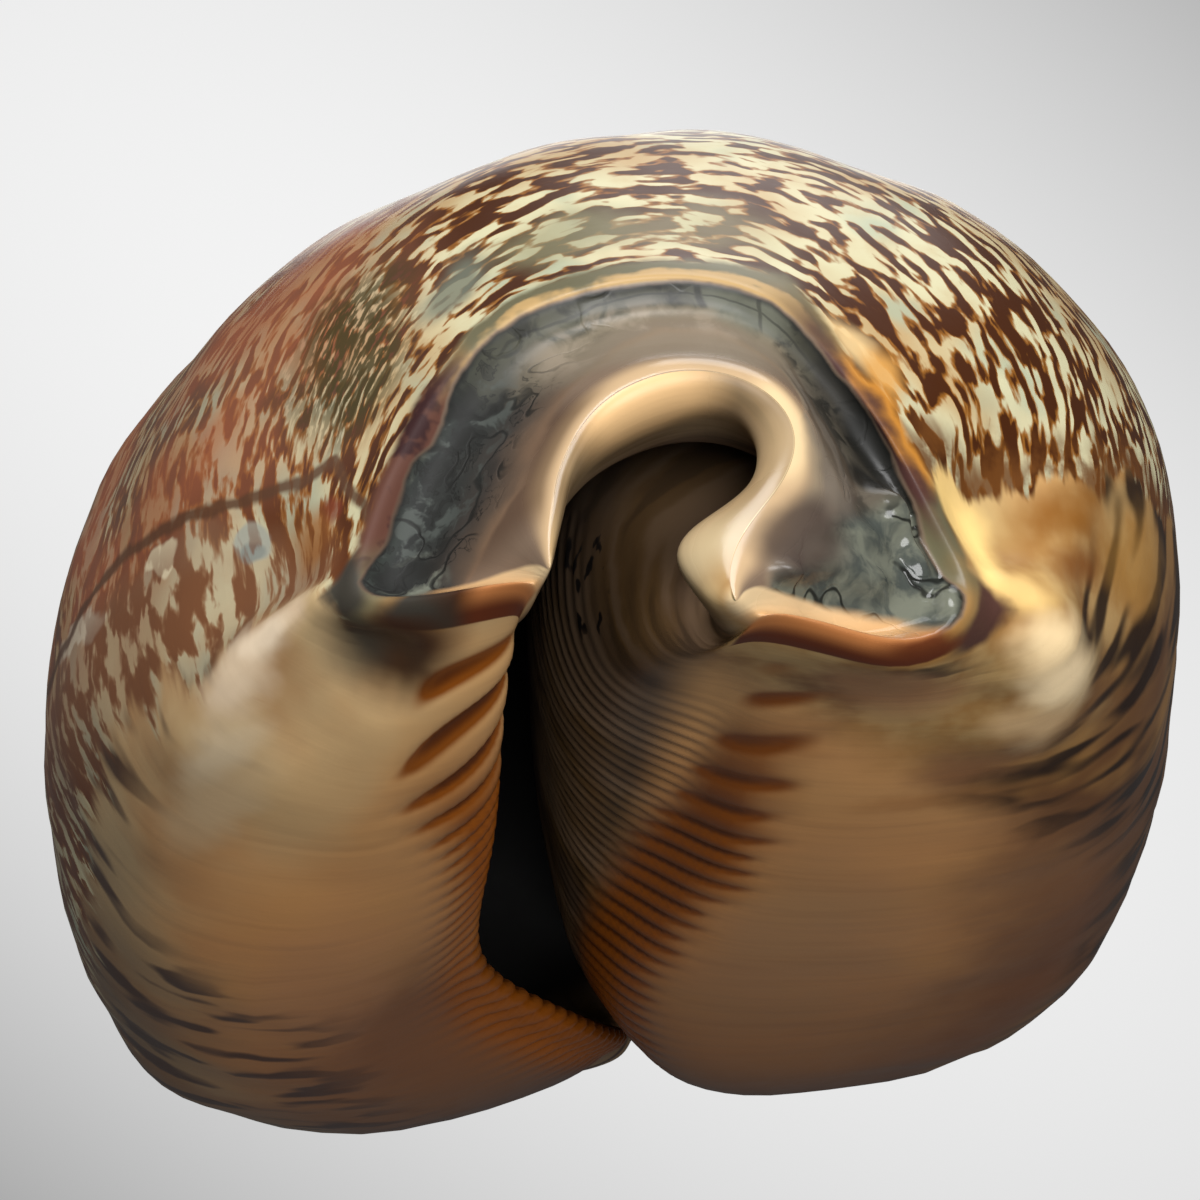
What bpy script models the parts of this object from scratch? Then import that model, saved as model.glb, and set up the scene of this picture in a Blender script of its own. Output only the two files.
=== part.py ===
"""Cowrie shell, grown as one piece, resting on its base with the aperture down.

The frame is metres, +Z up. The front (anterior) end points to -Y, the outer (labial) lip lies on
the -X side of the aperture and the inner (columellar) lip on the +X side, as on a dextral shell.
The origin is under the middle of the shell, on the surface it rests on.

The shell is one sheet, rolled so that its two lips face each other across the aperture. Rings run
round that sheet: over the outside from lip to lip, then back through the hollow. They are lofted
into a coarse cage, closed along the rim of the canal at each end, and Subdivision Surface rounds it.
"""

import math
from typing import NamedTuple

import bpy

# ---------------------------------------------------------------- driving dimensions, millimetres
MM = 0.001
WALL = 2.4  # thickness of the body's wall
SUBDIVISION = 1
ORIGIN = (-0.25, -0.96, 0.14)  # in the dimensions below, the point under the shell's middle

OUTSIDE = 21  # points of a ring over the outside, lip edge to lip edge
INSIDE = OUTSIDE - 2  # points that a ring adds through the hollow
AROUND = OUTSIDE + INSIDE

BACK_LIFT = 9.4  # the back canal's lip edges above the resting plane
BACK_CANAL_X = 3.8  # the aperture's back end turns to the columellar side
BACK_FEET_DRAWN = 1.2  # how far its lips' lower ends are drawn back from the rim


class Station(NamedTuple):
    """One cross-section of the body at a distance y along the shell."""

    y: float
    left: float  # half width on the labial side
    right: float  # half width on the columellar side
    top: float
    base: float  # height of the base's two lobes
    labial_x: float  # lip edges, on either side of the aperture
    labial_z: float
    columellar_x: float
    columellar_z: float
    bulge_x: float  # how far the columella's inner wall stands out towards the labial lip
    hollow: float  # 0 where the inside is only the canal, 1 where it is the full whorl


BODY = (
    Station(-30.5, 12.5, 15.2, 25.0, 1.6, -5.3, 2.9, 1.9, 2.4, -3.6, 0.50),
    Station(-24.5, 17.8, 18.9, 28.5, 0.8, -5.4, 3.1, 1.9, 2.6, -4.0, 0.88),
    Station(-16.5, 21.7, 21.2, 33.0, 0.2, -5.6, 3.4, 1.5, 2.9, -4.1, 1.00),
    Station(-7.5, 23.2, 22.7, 36.5, 0.0, -6.4, 3.8, 0.0, 3.2, -3.8, 1.00),
    Station(2.5, 24.0, 23.8, 37.5, 0.0, -6.4, 4.2, -1.9, 3.6, -3.7, 1.00),
    Station(12.0, 24.2, 23.5, 35.8, 0.0, -1.6, 4.9, -1.0, 4.2, -2.9, 1.00),
    Station(20.5, 21.7, 21.0, 31.6, 1.6, 0.8, 6.3, 1.4, 5.7, -1.0, 0.95),
    Station(28.0, 17.2, 17.0, 25.8, 4.2, 2.2, 8.4, 3.4, 8.2, 1.6, 0.80),
)

# The body's outline from margin to margin: shares of that side's half width, and of the height.
OUTER_HULL = (
    (-0.97, 0.06), (-1.08, 0.26), (-1.03, 0.50), (-0.88, 0.73), (-0.63, 0.905), (-0.33, 1.01),
    (0.0, 1.05),
    (0.33, 1.035), (0.64, 0.95), (0.90, 0.77), (1.045, 0.54), (1.07, 0.29), (0.97, 0.07),
)

# The front end, each outline from the labial beak's tip over the canal to the columellar beak's.
FRONT_RIM = (
    (-4.0, -38.2, 3.4), (-4.0, -38.3, 3.9), (-3.9, -38.4, 4.8), (-3.6, -38.5, 5.7), (-3.3, -38.6, 6.8),
    (-2.8, -38.7, 7.8), (-2.2, -38.8, 8.7), (-1.4, -38.9, 9.4), (-0.4, -39.0, 9.8), (0.7, -39.0, 10.0),
    (1.9, -39.0, 9.8), (2.9, -38.9, 9.4), (3.9, -38.8, 8.7), (4.4, -38.6, 7.8), (4.3, -38.4, 7.0),
    (3.8, -38.2, 6.1), (2.9, -38.1, 5.2), (2.2, -38.0, 4.3), (1.7, -38.0, 3.4), (1.5, -37.9, 2.6),
    (1.6, -37.8, 2.0),
)
FRONT_CREST = (
    (-4.3, -37.7, 3.3), (-5.1, -37.6, 3.7), (-6.5, -37.2, 3.9), (-8.4, -36.2, 4.2), (-10.4, -35.0, 4.9),
    (-9.7, -34.8, 6.8), (-8.9, -35.0, 9.0), (-7.6, -35.2, 11.1), (-6.4, -35.5, 13.0), (-3.9, -35.7, 15.0),
    (-0.8, -35.8, 15.8), (2.3, -35.8, 15.8), (5.1, -35.6, 14.6), (6.8, -35.3, 11.7), (8.3, -35.0, 8.5),
    (9.3, -34.6, 5.4), (10.2, -34.6, 2.9), (7.6, -36.0, 1.0), (5.0, -37.0, 1.6), (3.1, -37.4, 2.0),
    (2.2, -37.2, 1.7),
)
# Just inside the rim, and the narrow passage behind it (its points are across and up).
FRONT_CANAL = (
    (-3.8, -38.0, 3.9), (-3.5, -38.0, 4.8), (-3.2, -38.0, 5.7), (-2.9, -38.0, 6.7), (-2.4, -38.0, 7.4),
    (-1.8, -38.0, 8.0), (-1.0, -38.0, 8.4), (-0.2, -38.0, 8.7), (0.8, -37.9, 9.0), (1.7, -37.8, 9.1),
    (2.4, -37.7, 8.8), (2.7, -37.5, 8.0), (2.7, -37.3, 7.3), (2.3, -37.1, 6.4), (1.2, -36.9, 5.8),
    (0.1, -36.8, 5.4), (-0.5, -36.8, 4.6), (0.1, -37.0, 3.4), (0.9, -37.3, 2.1),
)
THROAT = (
    (-4.9, 3.6), (-4.8, 4.4), (-4.6, 5.2), (-4.2, 6.1), (-3.7, 7.0), (-3.0, 8.0), (-2.1, 8.9),
    (-0.8, 9.6), (0.6, 10.1), (2.0, 10.2), (3.4, 9.7), (4.6, 8.8), (5.0, 7.6), (4.6, 6.6),
    (3.6, 5.8), (2.4, 5.0), (1.6, 4.1), (1.4, 3.2), (1.8, 2.4),
)
THROAT_Y = -33.8

Point = tuple[float, float, float]


def mix(first: list[Point], second: list[Point], share: float) -> list[Point]:
    """Points part of the way from the first outline to the second."""
    return [tuple(a + (b - a) * share for a, b in zip(p, q)) for p, q in zip(first, second)]


def at(y: float, outline) -> list[Point]:
    """An outline of points across and up, stood at y."""
    return [(x, y, z) for x, z in outline]


# ---------------------------------------------------------------- body
def body_outside(s: Station) -> list[Point]:
    """The outside of one station: labial lip edge, base, flank, back, flank, base, lip edge."""
    height = s.top - s.base
    labial_rise = s.labial_z - s.base
    columellar_rise = s.columellar_z - s.base
    hull = [(x * (s.left if x < 0 else s.right), s.base + z * height) for x, z in OUTER_HULL]
    labial = [
        (s.labial_x, s.labial_z + 0.5),
        (s.labial_x - 0.7, s.base + 0.5 * labial_rise),
        (s.labial_x - 3.4, s.base + 0.1 * labial_rise),
        (0.2 * s.labial_x - 0.62 * s.left, s.base - 0.3),
    ]
    columellar = [
        (0.2 * s.columellar_x + 0.62 * s.right, s.base - 0.2),
        (s.columellar_x + 4.6, s.base + 0.1 * columellar_rise),
        (s.columellar_x + 1.3, s.base + 0.5 * columellar_rise),
        (s.columellar_x, s.columellar_z + 0.6),
    ]
    return at(s.y, labial + hull + columellar)


def body_inside(s: Station) -> list[Point]:
    """The whorl's hollow at one station, from the labial lip over the back to the columella."""
    height = s.top - s.base
    size = min(1.0, height / 38.0)
    labial_wall = [
        (0.62 * s.labial_x - 0.25 * s.left - 0.3, s.base + 0.09 * height + 1.6),
        (-0.78 * s.left, s.base + 0.19 * height),
        (WALL - 0.98 * s.left, s.base + 0.42 * height),
        (0.6 * WALL - 0.84 * s.left, s.base + 0.70 * height),
        (-0.52 * s.left, s.base + 0.92 * height - WALL),
    ]
    roof = [(0.0, s.base + 1.02 * height - WALL), (0.50 * s.right, s.base + 0.95 * height - WALL)]
    columellar_wall = [
        (0.86 * s.right - 0.7 * WALL, s.base + 0.74 * height),
        (0.99 * s.right - WALL, s.base + 0.52 * height),
        (0.99 * s.right - WALL, s.base + 0.33 * height),
        (0.74 * s.right, s.base + 0.20 * height),
        (0.54 * s.right, s.base + 0.27 * height),
    ]
    columella = [
        (s.columellar_x + 11.0 * size, s.base + 0.48 * height),
        (s.columellar_x + 8.0 * size, s.base + 0.64 * height),
        (s.columellar_x + 2.0 * size, s.base + 0.70 * height),
        (s.bulge_x + 1.0, s.base + 0.58 * height),
        (s.bulge_x, s.base + 0.38 * height),
        (s.bulge_x + 0.5, s.columellar_z + 5.6 * size),
        (0.55 * s.bulge_x + 0.45 * s.columellar_x, s.columellar_z + 2.6 * size),
    ]
    return at(s.y, labial_wall + roof + columellar_wall + columella)


def passage_to(s: Station, passage: list[Point], lips: tuple[float, float], dz: float) -> list[Point]:
    """A canal's passage carried on to a station, its two sides kept behind that station's lips."""
    left = s.labial_x - lips[0]
    right = s.columellar_x - lips[1]
    last = len(passage) - 1
    return [
        (x + left + (right - left) * i / last, s.y, z + dz) for i, (x, _, z) in enumerate(passage)
    ]


# ---------------------------------------------------------------- front end
def front_rings() -> list[tuple[list[Point], list[Point]]]:
    """The front end's rings (outside, inside), from behind the rim to the neck of the body."""
    rim, crest = list(FRONT_RIM), list(FRONT_CREST)
    deepest = [min(1.0, 0.42 * min(k, OUTSIDE - 1 - k)) for k in range(OUTSIDE)]

    def moat(share: float, depth: float) -> list[Point]:
        between = mix(rim, crest, share)
        return [(x, y + depth * d, z) for (x, y, z), d in zip(between, deepest)]

    middle_x, middle_z, spread = 0.8, 6.5, 1.1
    neck = []
    for k, (x, y, z) in enumerate(crest):
        if 4 <= k <= OUTSIDE - 5:
            neck.append((middle_x + (x - middle_x) * spread, y + 1.6, middle_z + (z - middle_z) * spread))
        else:
            neck.append((x - 0.5, y + 1.5, z - 1.0 * deepest[k]))

    throat = at(THROAT_Y, THROAT)
    body = front_passage(BODY[0])
    outside = [moat(0.25, 0.3), moat(0.52, 1.7), moat(0.86, 1.9), crest, neck]
    inside = [
        list(FRONT_CANAL),
        mix(list(FRONT_CANAL), throat, 0.38),
        mix(list(FRONT_CANAL), throat, 0.75),
        throat,
        mix(throat, body, 0.45),
    ]
    return list(zip(outside, inside))


def front_passage(s: Station) -> list[Point]:
    """The inside of a station in front of the middle, where the throat opens into the whorl."""
    narrow = passage_to(s, at(s.y, THROAT), (-4.9, 2.9), 0.0)
    return mix(narrow, body_inside(s), s.hollow)


# ---------------------------------------------------------------- back end
def arch(y: float, half: float, foot: float, top: float) -> list[Point]:
    """The back canal's outline: an upright arch of OUTSIDE points, its two feet drawn inwards."""
    points = []
    for k in range(OUTSIDE):
        angle = math.pi * (1 - k / (OUTSIDE - 1))
        across = math.copysign(abs(math.cos(angle)) ** 0.75, math.cos(angle))
        drawn = BACK_FEET_DRAWN * (1 - math.sin(angle)) ** 2
        up = foot + (top - foot) * math.sin(angle) ** 0.9
        points.append((BACK_CANAL_X + half * across, y - drawn, up))
    return points


def collar(y: float, half: float, base: float, corner: float, top: float, dx: float) -> list[Point]:
    """A ring of the back end outside its canal: lip, underside, corner and arch, and their mirror."""
    gap = 1.9
    x0 = BACK_CANAL_X + dx
    side = [
        (gap, BACK_LIFT - 0.4),
        (gap + 0.35 * (half - gap), base + 0.3),
        (gap + 0.60 * (half - gap), base + 0.2),
        (0.85 * half, base + 0.3 * (corner - base)),
    ]
    steps = OUTSIDE // 2 - len(side)
    for i in range(steps):
        angle = 0.5 * math.pi * i / steps
        side.append((half * math.cos(angle) ** 0.9, corner + (top - corner) * math.sin(angle)))
    left = [(x0 - x, z) for x, z in side]
    right = [(x0 + x, z) for x, z in reversed(side)]
    return at(y, left + [(x0, top)] + right)


BACK_RIM = arch(36.6, 1.8, BACK_LIFT, 13.4)


def back_throat() -> list[Point]:
    """The narrow passage behind the back rim."""
    return arch(32.5, 2.2, BACK_LIFT, 14.6)[1:-1]


def back_passage(s: Station) -> list[Point]:
    """The inside of a station behind the middle, where the whorl narrows into the back canal."""
    throat = back_throat()
    dz = 0.5 * (s.labial_z + s.columellar_z) - 8.2
    narrow = passage_to(s, throat, (throat[0][0] - 0.3, throat[-1][0] + 0.3), dz)
    return mix(narrow, body_inside(s), s.hollow)


def back_rings() -> list[tuple[list[Point], list[Point]]]:
    """The back end's rings (outside, inside), from the neck of the body to before the rim."""
    throat = back_throat()
    mouth = arch(35.8, 1.1, BACK_LIFT + 0.1, 12.6)[1:-1]
    outside = [
        collar(32.2, 11.0, 6.6, 9.6, 21.6, -1.0),
        collar(34.6, 8.2, 7.6, 10.0, 18.8, -0.4),
        collar(35.8, 6.0, 8.2, 10.4, 17.0, 0.0),
        arch(36.9, 3.4, BACK_LIFT - 0.7, 15.4),
    ]
    inside = [
        mix(throat, back_passage(BODY[-1]), 0.45),
        mix(mouth, throat, 0.75),
        mix(mouth, throat, 0.40),
        mouth,
    ]
    return list(zip(outside, inside))


# ---------------------------------------------------------------- loft
def all_rings() -> list[list[Point]]:
    """Every ring from front to back. The outside comes first, and the inside runs back to its start."""
    pairs = front_rings()
    for s in BODY:
        inside = front_passage(s) if s.y < 0 else back_passage(s)
        pairs.append((body_outside(s), inside))
    pairs += back_rings()
    return [outside + inside[::-1] for outside, inside in pairs]


def loft_cage(name: str) -> bpy.types.Mesh:
    """The coarse cage: quads from ring to ring, and from each end ring to that end's rim.

    A rim is one open line of points, and both the outside and the inside of its ring meet it, so
    the sheet's edge is rounded there and the mesh is closed.
    """
    rings = all_rings()
    verts = list(FRONT_RIM)
    for ring in rings:
        verts += ring
    verts += BACK_RIM
    back_start = OUTSIDE + AROUND * len(rings)

    def rim_index(position: int) -> int:
        position %= AROUND
        return position if position < OUTSIDE else AROUND - position

    def row(index: int) -> list[int]:
        """The vertex numbers of one row, round the whole ring."""
        if index == 0:
            return [rim_index(p) for p in range(AROUND)]
        if index == len(rings) + 1:
            return [back_start + rim_index(p) for p in range(AROUND)]
        start = OUTSIDE + AROUND * (index - 1)
        return [start + p for p in range(AROUND)]

    faces = []
    for index in range(len(rings) + 1):
        near, far = row(index), row(index + 1)
        for p in range(AROUND):
            q = (p + 1) % AROUND
            faces.append((near[p], near[q], far[q], far[p]))

    mesh = bpy.data.meshes.new(name)
    placed = [tuple((a - b) * MM for a, b in zip(vert, ORIGIN)) for vert in verts]
    mesh.from_pydata(placed, [], faces)
    mesh.validate()
    return mesh


# ---------------------------------------------------------------- scene
def clear_scene() -> None:
    """Removes whatever the file opened with."""
    for obj in list(bpy.data.objects):
        bpy.data.objects.remove(obj, do_unlink=True)


def enamel() -> bpy.types.Material:
    """The shell's glossy pinkish-tan enamel."""
    material = bpy.data.materials.new("shell enamel")
    material.use_nodes = True
    principled = material.node_tree.nodes["Principled BSDF"]
    principled.inputs["Base Color"].default_value = (0.56, 0.36, 0.22, 1.0)
    principled.inputs["Roughness"].default_value = 0.28
    principled.inputs["Metallic"].default_value = 0.0
    return material


def add_shell(collection: bpy.types.Collection) -> bpy.types.Object:
    """The whole shell: the cage, rounded by Subdivision Surface."""
    mesh = loft_cage("cowrie_shell")
    mesh.materials.append(enamel())
    for face in mesh.polygons:
        face.use_smooth = True
    shell = bpy.data.objects.new("cowrie_shell", mesh)
    collection.objects.link(shell)
    rounding = shell.modifiers.new("rounding", "SUBSURF")
    rounding.levels = SUBDIVISION
    rounding.render_levels = SUBDIVISION
    return shell


def main() -> None:
    """Builds the shell in a collection of its own."""
    clear_scene()
    collection = bpy.data.collections.new("cowrie shell")
    bpy.context.scene.collection.children.link(collection)
    add_shell(collection)


main()
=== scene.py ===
"""A cowrie shell's looks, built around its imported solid.

The shell is one rolled sheet. Its outlines are lofted into a smooth surface, the teeth of both lips
and the ribs of the inner wall are raised by a Geometry Nodes tool, and one enamel finish is painted
zone by zone: back, margins, base, lips, front ridge, moat and hollow.
"""

import logging
import math
from dataclasses import dataclass, field
from enum import Enum
from typing import NamedTuple

import bpy
import numpy as np
from mathutils import Matrix, Vector, noise


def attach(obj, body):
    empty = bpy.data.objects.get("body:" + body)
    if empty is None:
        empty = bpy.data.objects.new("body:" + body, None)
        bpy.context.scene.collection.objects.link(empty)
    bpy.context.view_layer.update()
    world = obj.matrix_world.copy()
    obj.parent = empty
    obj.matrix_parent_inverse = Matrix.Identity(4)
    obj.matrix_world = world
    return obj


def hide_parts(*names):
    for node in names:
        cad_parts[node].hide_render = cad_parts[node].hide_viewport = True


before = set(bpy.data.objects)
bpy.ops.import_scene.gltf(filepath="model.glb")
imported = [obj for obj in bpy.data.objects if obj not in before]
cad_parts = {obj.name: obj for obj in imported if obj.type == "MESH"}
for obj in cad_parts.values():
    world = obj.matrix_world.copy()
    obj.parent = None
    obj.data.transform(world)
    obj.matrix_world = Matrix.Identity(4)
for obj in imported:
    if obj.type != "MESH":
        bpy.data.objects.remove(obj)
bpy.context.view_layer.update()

LOG = logging.getLogger("cowrie")
MM = 0.001
NODE = "cowrie_shell"
OUTSIDE = 21  # points of an outline over the outside, lip edge to lip edge
AROUND = 2 * OUTSIDE - 2  # with those that lead back through the hollow
CROWN = 10.0  # the outline's point on top of the back
COLUMELLAR_EDGE = 20.0  # the inner lip's edge; the outer lip's is 0
HOLLOW_TURN = 30.0  # halfway back through the hollow
TAU = 2.0 * math.pi

Array = np.ndarray
Colour = tuple[float, float, float]
Point = tuple[float, float, float]


class Zone(Enum):
    """The stretches of the shell that have a material each, all of the same enamel."""

    FRONT = "Front enamel"
    BACK = "Back enamel"
    MARGIN = "Margin enamel"
    BASE = "Base enamel"
    HOLLOW = "Hollow enamel"


ZONES = tuple(Zone)
BODY_COURSE = 6.2  # rings from the front rim; the front end's own colours end before it
HOLLOW_DEPTH = 2.4  # millimetres behind a lip's edge; the wall's colour covers all past it
BACK_INSET = 2.7  # millimetres inside the back's edge; no colour of the margins comes so far
BASE_OUTSET = (10.4, 5.8)  # millimetres outside its left and right edge, past the last stroke
REACH = {  # the rings that each zone lies in
    Zone.FRONT: (0.0, 6.4), Zone.BACK: (BODY_COURSE, 18.0), Zone.MARGIN: (BODY_COURSE, 18.0),
    Zone.BASE: (BODY_COURSE, 18.0), Zone.HOLLOW: (0.0, 18.0),
}


# ---------------------------------------------------------------- small helpers
def ease(low: float, high: float, value: Array) -> Array:
    """A smooth step from 0 at low to 1 at high.

    Args:
        low: Where the step starts. It may lie above high, for a falling step.
        high: Where it ends.
        value: The numbers to step.

    Returns:
        Numbers from 0 to 1.
    """
    share = np.clip((value - low) / (high - low), 0.0, 1.0)
    return share * share * (3.0 - 2.0 * share)


def between(value: Array, low: float, high: float, soft: float) -> Array:
    """1 inside a range and 0 outside, with soft ends."""
    return ease(low - soft, low + soft, value) * ease(high + soft, high - soft, value)


def bumpy(points: Array, size: float, seed: float) -> Array:
    """Smooth seeded noise.

    Args:
        points: Places in millimetres, one row each.
        size: Roughly how far apart the bumps are, in millimetres.
        seed: Moves the pattern, so that two uses differ.

    Returns:
        About -1 to 1 for each place.
    """
    shifted = points / size + np.array([seed, 1.7 * seed, -0.6 * seed])
    return np.array([noise.noise(Vector(place)) for place in shifted])


def marks(*stretches: tuple[float, float, int]) -> Array:
    """Places along a line.

    Args:
        *stretches: Where each stretch starts and ends, and how many steps it has.

    Returns:
        The places, with both ends of the line.
    """
    parts = [np.linspace(low, high, steps, endpoint=False) for low, high, steps in stretches]
    return np.append(np.concatenate(parts), stretches[-1][1])


# ---------------------------------------------------------------- form
class Station(NamedTuple):
    """One cross-section of the body, in millimetres."""

    y: float
    left: float
    right: float
    top: float
    base: float
    labial_x: float
    labial_z: float
    columellar_x: float
    columellar_z: float
    bulge_x: float
    hollow: float


BODY = (
    Station(-30.5, 12.5, 15.2, 25.0, 1.6, -5.3, 2.9, 1.9, 2.4, -3.6, 0.50),
    Station(-24.5, 17.8, 18.9, 28.5, 0.8, -5.4, 3.1, 1.9, 2.6, -4.0, 0.88),
    Station(-16.5, 21.7, 21.2, 33.0, 0.2, -5.6, 3.4, 1.5, 2.9, -4.1, 1.00),
    Station(-7.5, 23.2, 22.7, 36.5, 0.0, -6.4, 3.8, 0.0, 3.2, -3.8, 1.00),
    Station(2.5, 24.0, 23.8, 37.5, 0.0, -6.4, 4.2, -1.9, 3.6, -3.7, 1.00),
    Station(12.0, 24.2, 23.5, 35.8, 0.0, -1.6, 4.9, -1.0, 4.2, -2.9, 1.00),
    Station(20.5, 21.7, 21.0, 31.6, 1.6, 0.8, 6.3, 1.4, 5.7, -1.0, 0.95),
    Station(28.0, 17.2, 17.0, 25.8, 4.2, 2.2, 8.4, 3.4, 8.2, 1.6, 0.80),
)

OUTER_HULL = (
    (-0.97, 0.06), (-1.08, 0.26), (-1.03, 0.50), (-0.88, 0.73), (-0.63, 0.905), (-0.33, 1.01),
    (0.0, 1.05),
    (0.33, 1.035), (0.64, 0.95), (0.90, 0.77), (1.045, 0.54), (1.07, 0.29), (0.97, 0.07),
)

FRONT_RIM = (
    (-4.0, -38.2, 3.4), (-4.0, -38.3, 3.9), (-3.9, -38.4, 4.8), (-3.6, -38.5, 5.7), (-3.3, -38.6, 6.8),
    (-2.8, -38.7, 7.8), (-2.2, -38.8, 8.7), (-1.4, -38.9, 9.4), (-0.4, -39.0, 9.8), (0.7, -39.0, 10.0),
    (1.9, -39.0, 9.8), (2.9, -38.9, 9.4), (3.9, -38.8, 8.7), (4.4, -38.6, 7.8), (4.3, -38.4, 7.0),
    (3.8, -38.2, 6.1), (2.9, -38.1, 5.2), (2.2, -38.0, 4.3), (1.7, -38.0, 3.4), (1.5, -37.9, 2.6),
    (1.6, -37.8, 2.0),
)
FRONT_CREST = (
    (-4.3, -37.7, 3.3), (-5.1, -37.6, 3.7), (-6.5, -37.2, 3.9), (-8.4, -36.2, 4.2), (-10.4, -35.0, 4.9),
    (-9.7, -34.8, 6.8), (-8.9, -35.0, 9.0), (-7.6, -35.2, 11.1), (-6.4, -35.5, 13.0), (-3.9, -35.7, 15.0),
    (-0.8, -35.8, 15.8), (2.3, -35.8, 15.8), (5.1, -35.6, 14.6), (6.8, -35.3, 11.7), (8.3, -35.0, 8.5),
    (9.3, -34.6, 5.4), (10.2, -34.6, 2.9), (7.6, -36.0, 1.0), (5.0, -37.0, 1.6), (3.1, -37.4, 2.0),
    (2.2, -37.2, 1.7),
)
FRONT_CANAL = (
    (-3.8, -38.0, 3.9), (-3.5, -38.0, 4.8), (-3.2, -38.0, 5.7), (-2.9, -38.0, 6.7), (-2.4, -38.0, 7.4),
    (-1.8, -38.0, 8.0), (-1.0, -38.0, 8.4), (-0.2, -38.0, 8.7), (0.8, -37.9, 9.0), (1.7, -37.8, 9.1),
    (2.4, -37.7, 8.8), (2.7, -37.5, 8.0), (2.7, -37.3, 7.3), (2.3, -37.1, 6.4), (1.2, -36.9, 5.8),
    (0.1, -36.8, 5.4), (-0.5, -36.8, 4.6), (0.1, -37.0, 3.4), (0.9, -37.3, 2.1),
)
THROAT = (
    (-4.9, 3.6), (-4.8, 4.4), (-4.6, 5.2), (-4.2, 6.1), (-3.7, 7.0), (-3.0, 8.0), (-2.1, 8.9),
    (-0.8, 9.6), (0.6, 10.1), (2.0, 10.2), (3.4, 9.7), (4.6, 8.8), (5.0, 7.6), (4.6, 6.6),
    (3.6, 5.8), (2.4, 5.0), (1.6, 4.1), (1.4, 3.2), (1.8, 2.4),
)


def mix(first: list[Point], second: list[Point], share: float) -> list[Point]:
    """Points part of the way from the first outline to the second."""
    return [tuple(a + (b - a) * share for a, b in zip(p, q)) for p, q in zip(first, second)]


def at(y: float, outline: list[tuple[float, float]]) -> list[Point]:
    """An outline of points across and up, stood at y."""
    return [(x, y, z) for x, z in outline]


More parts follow.
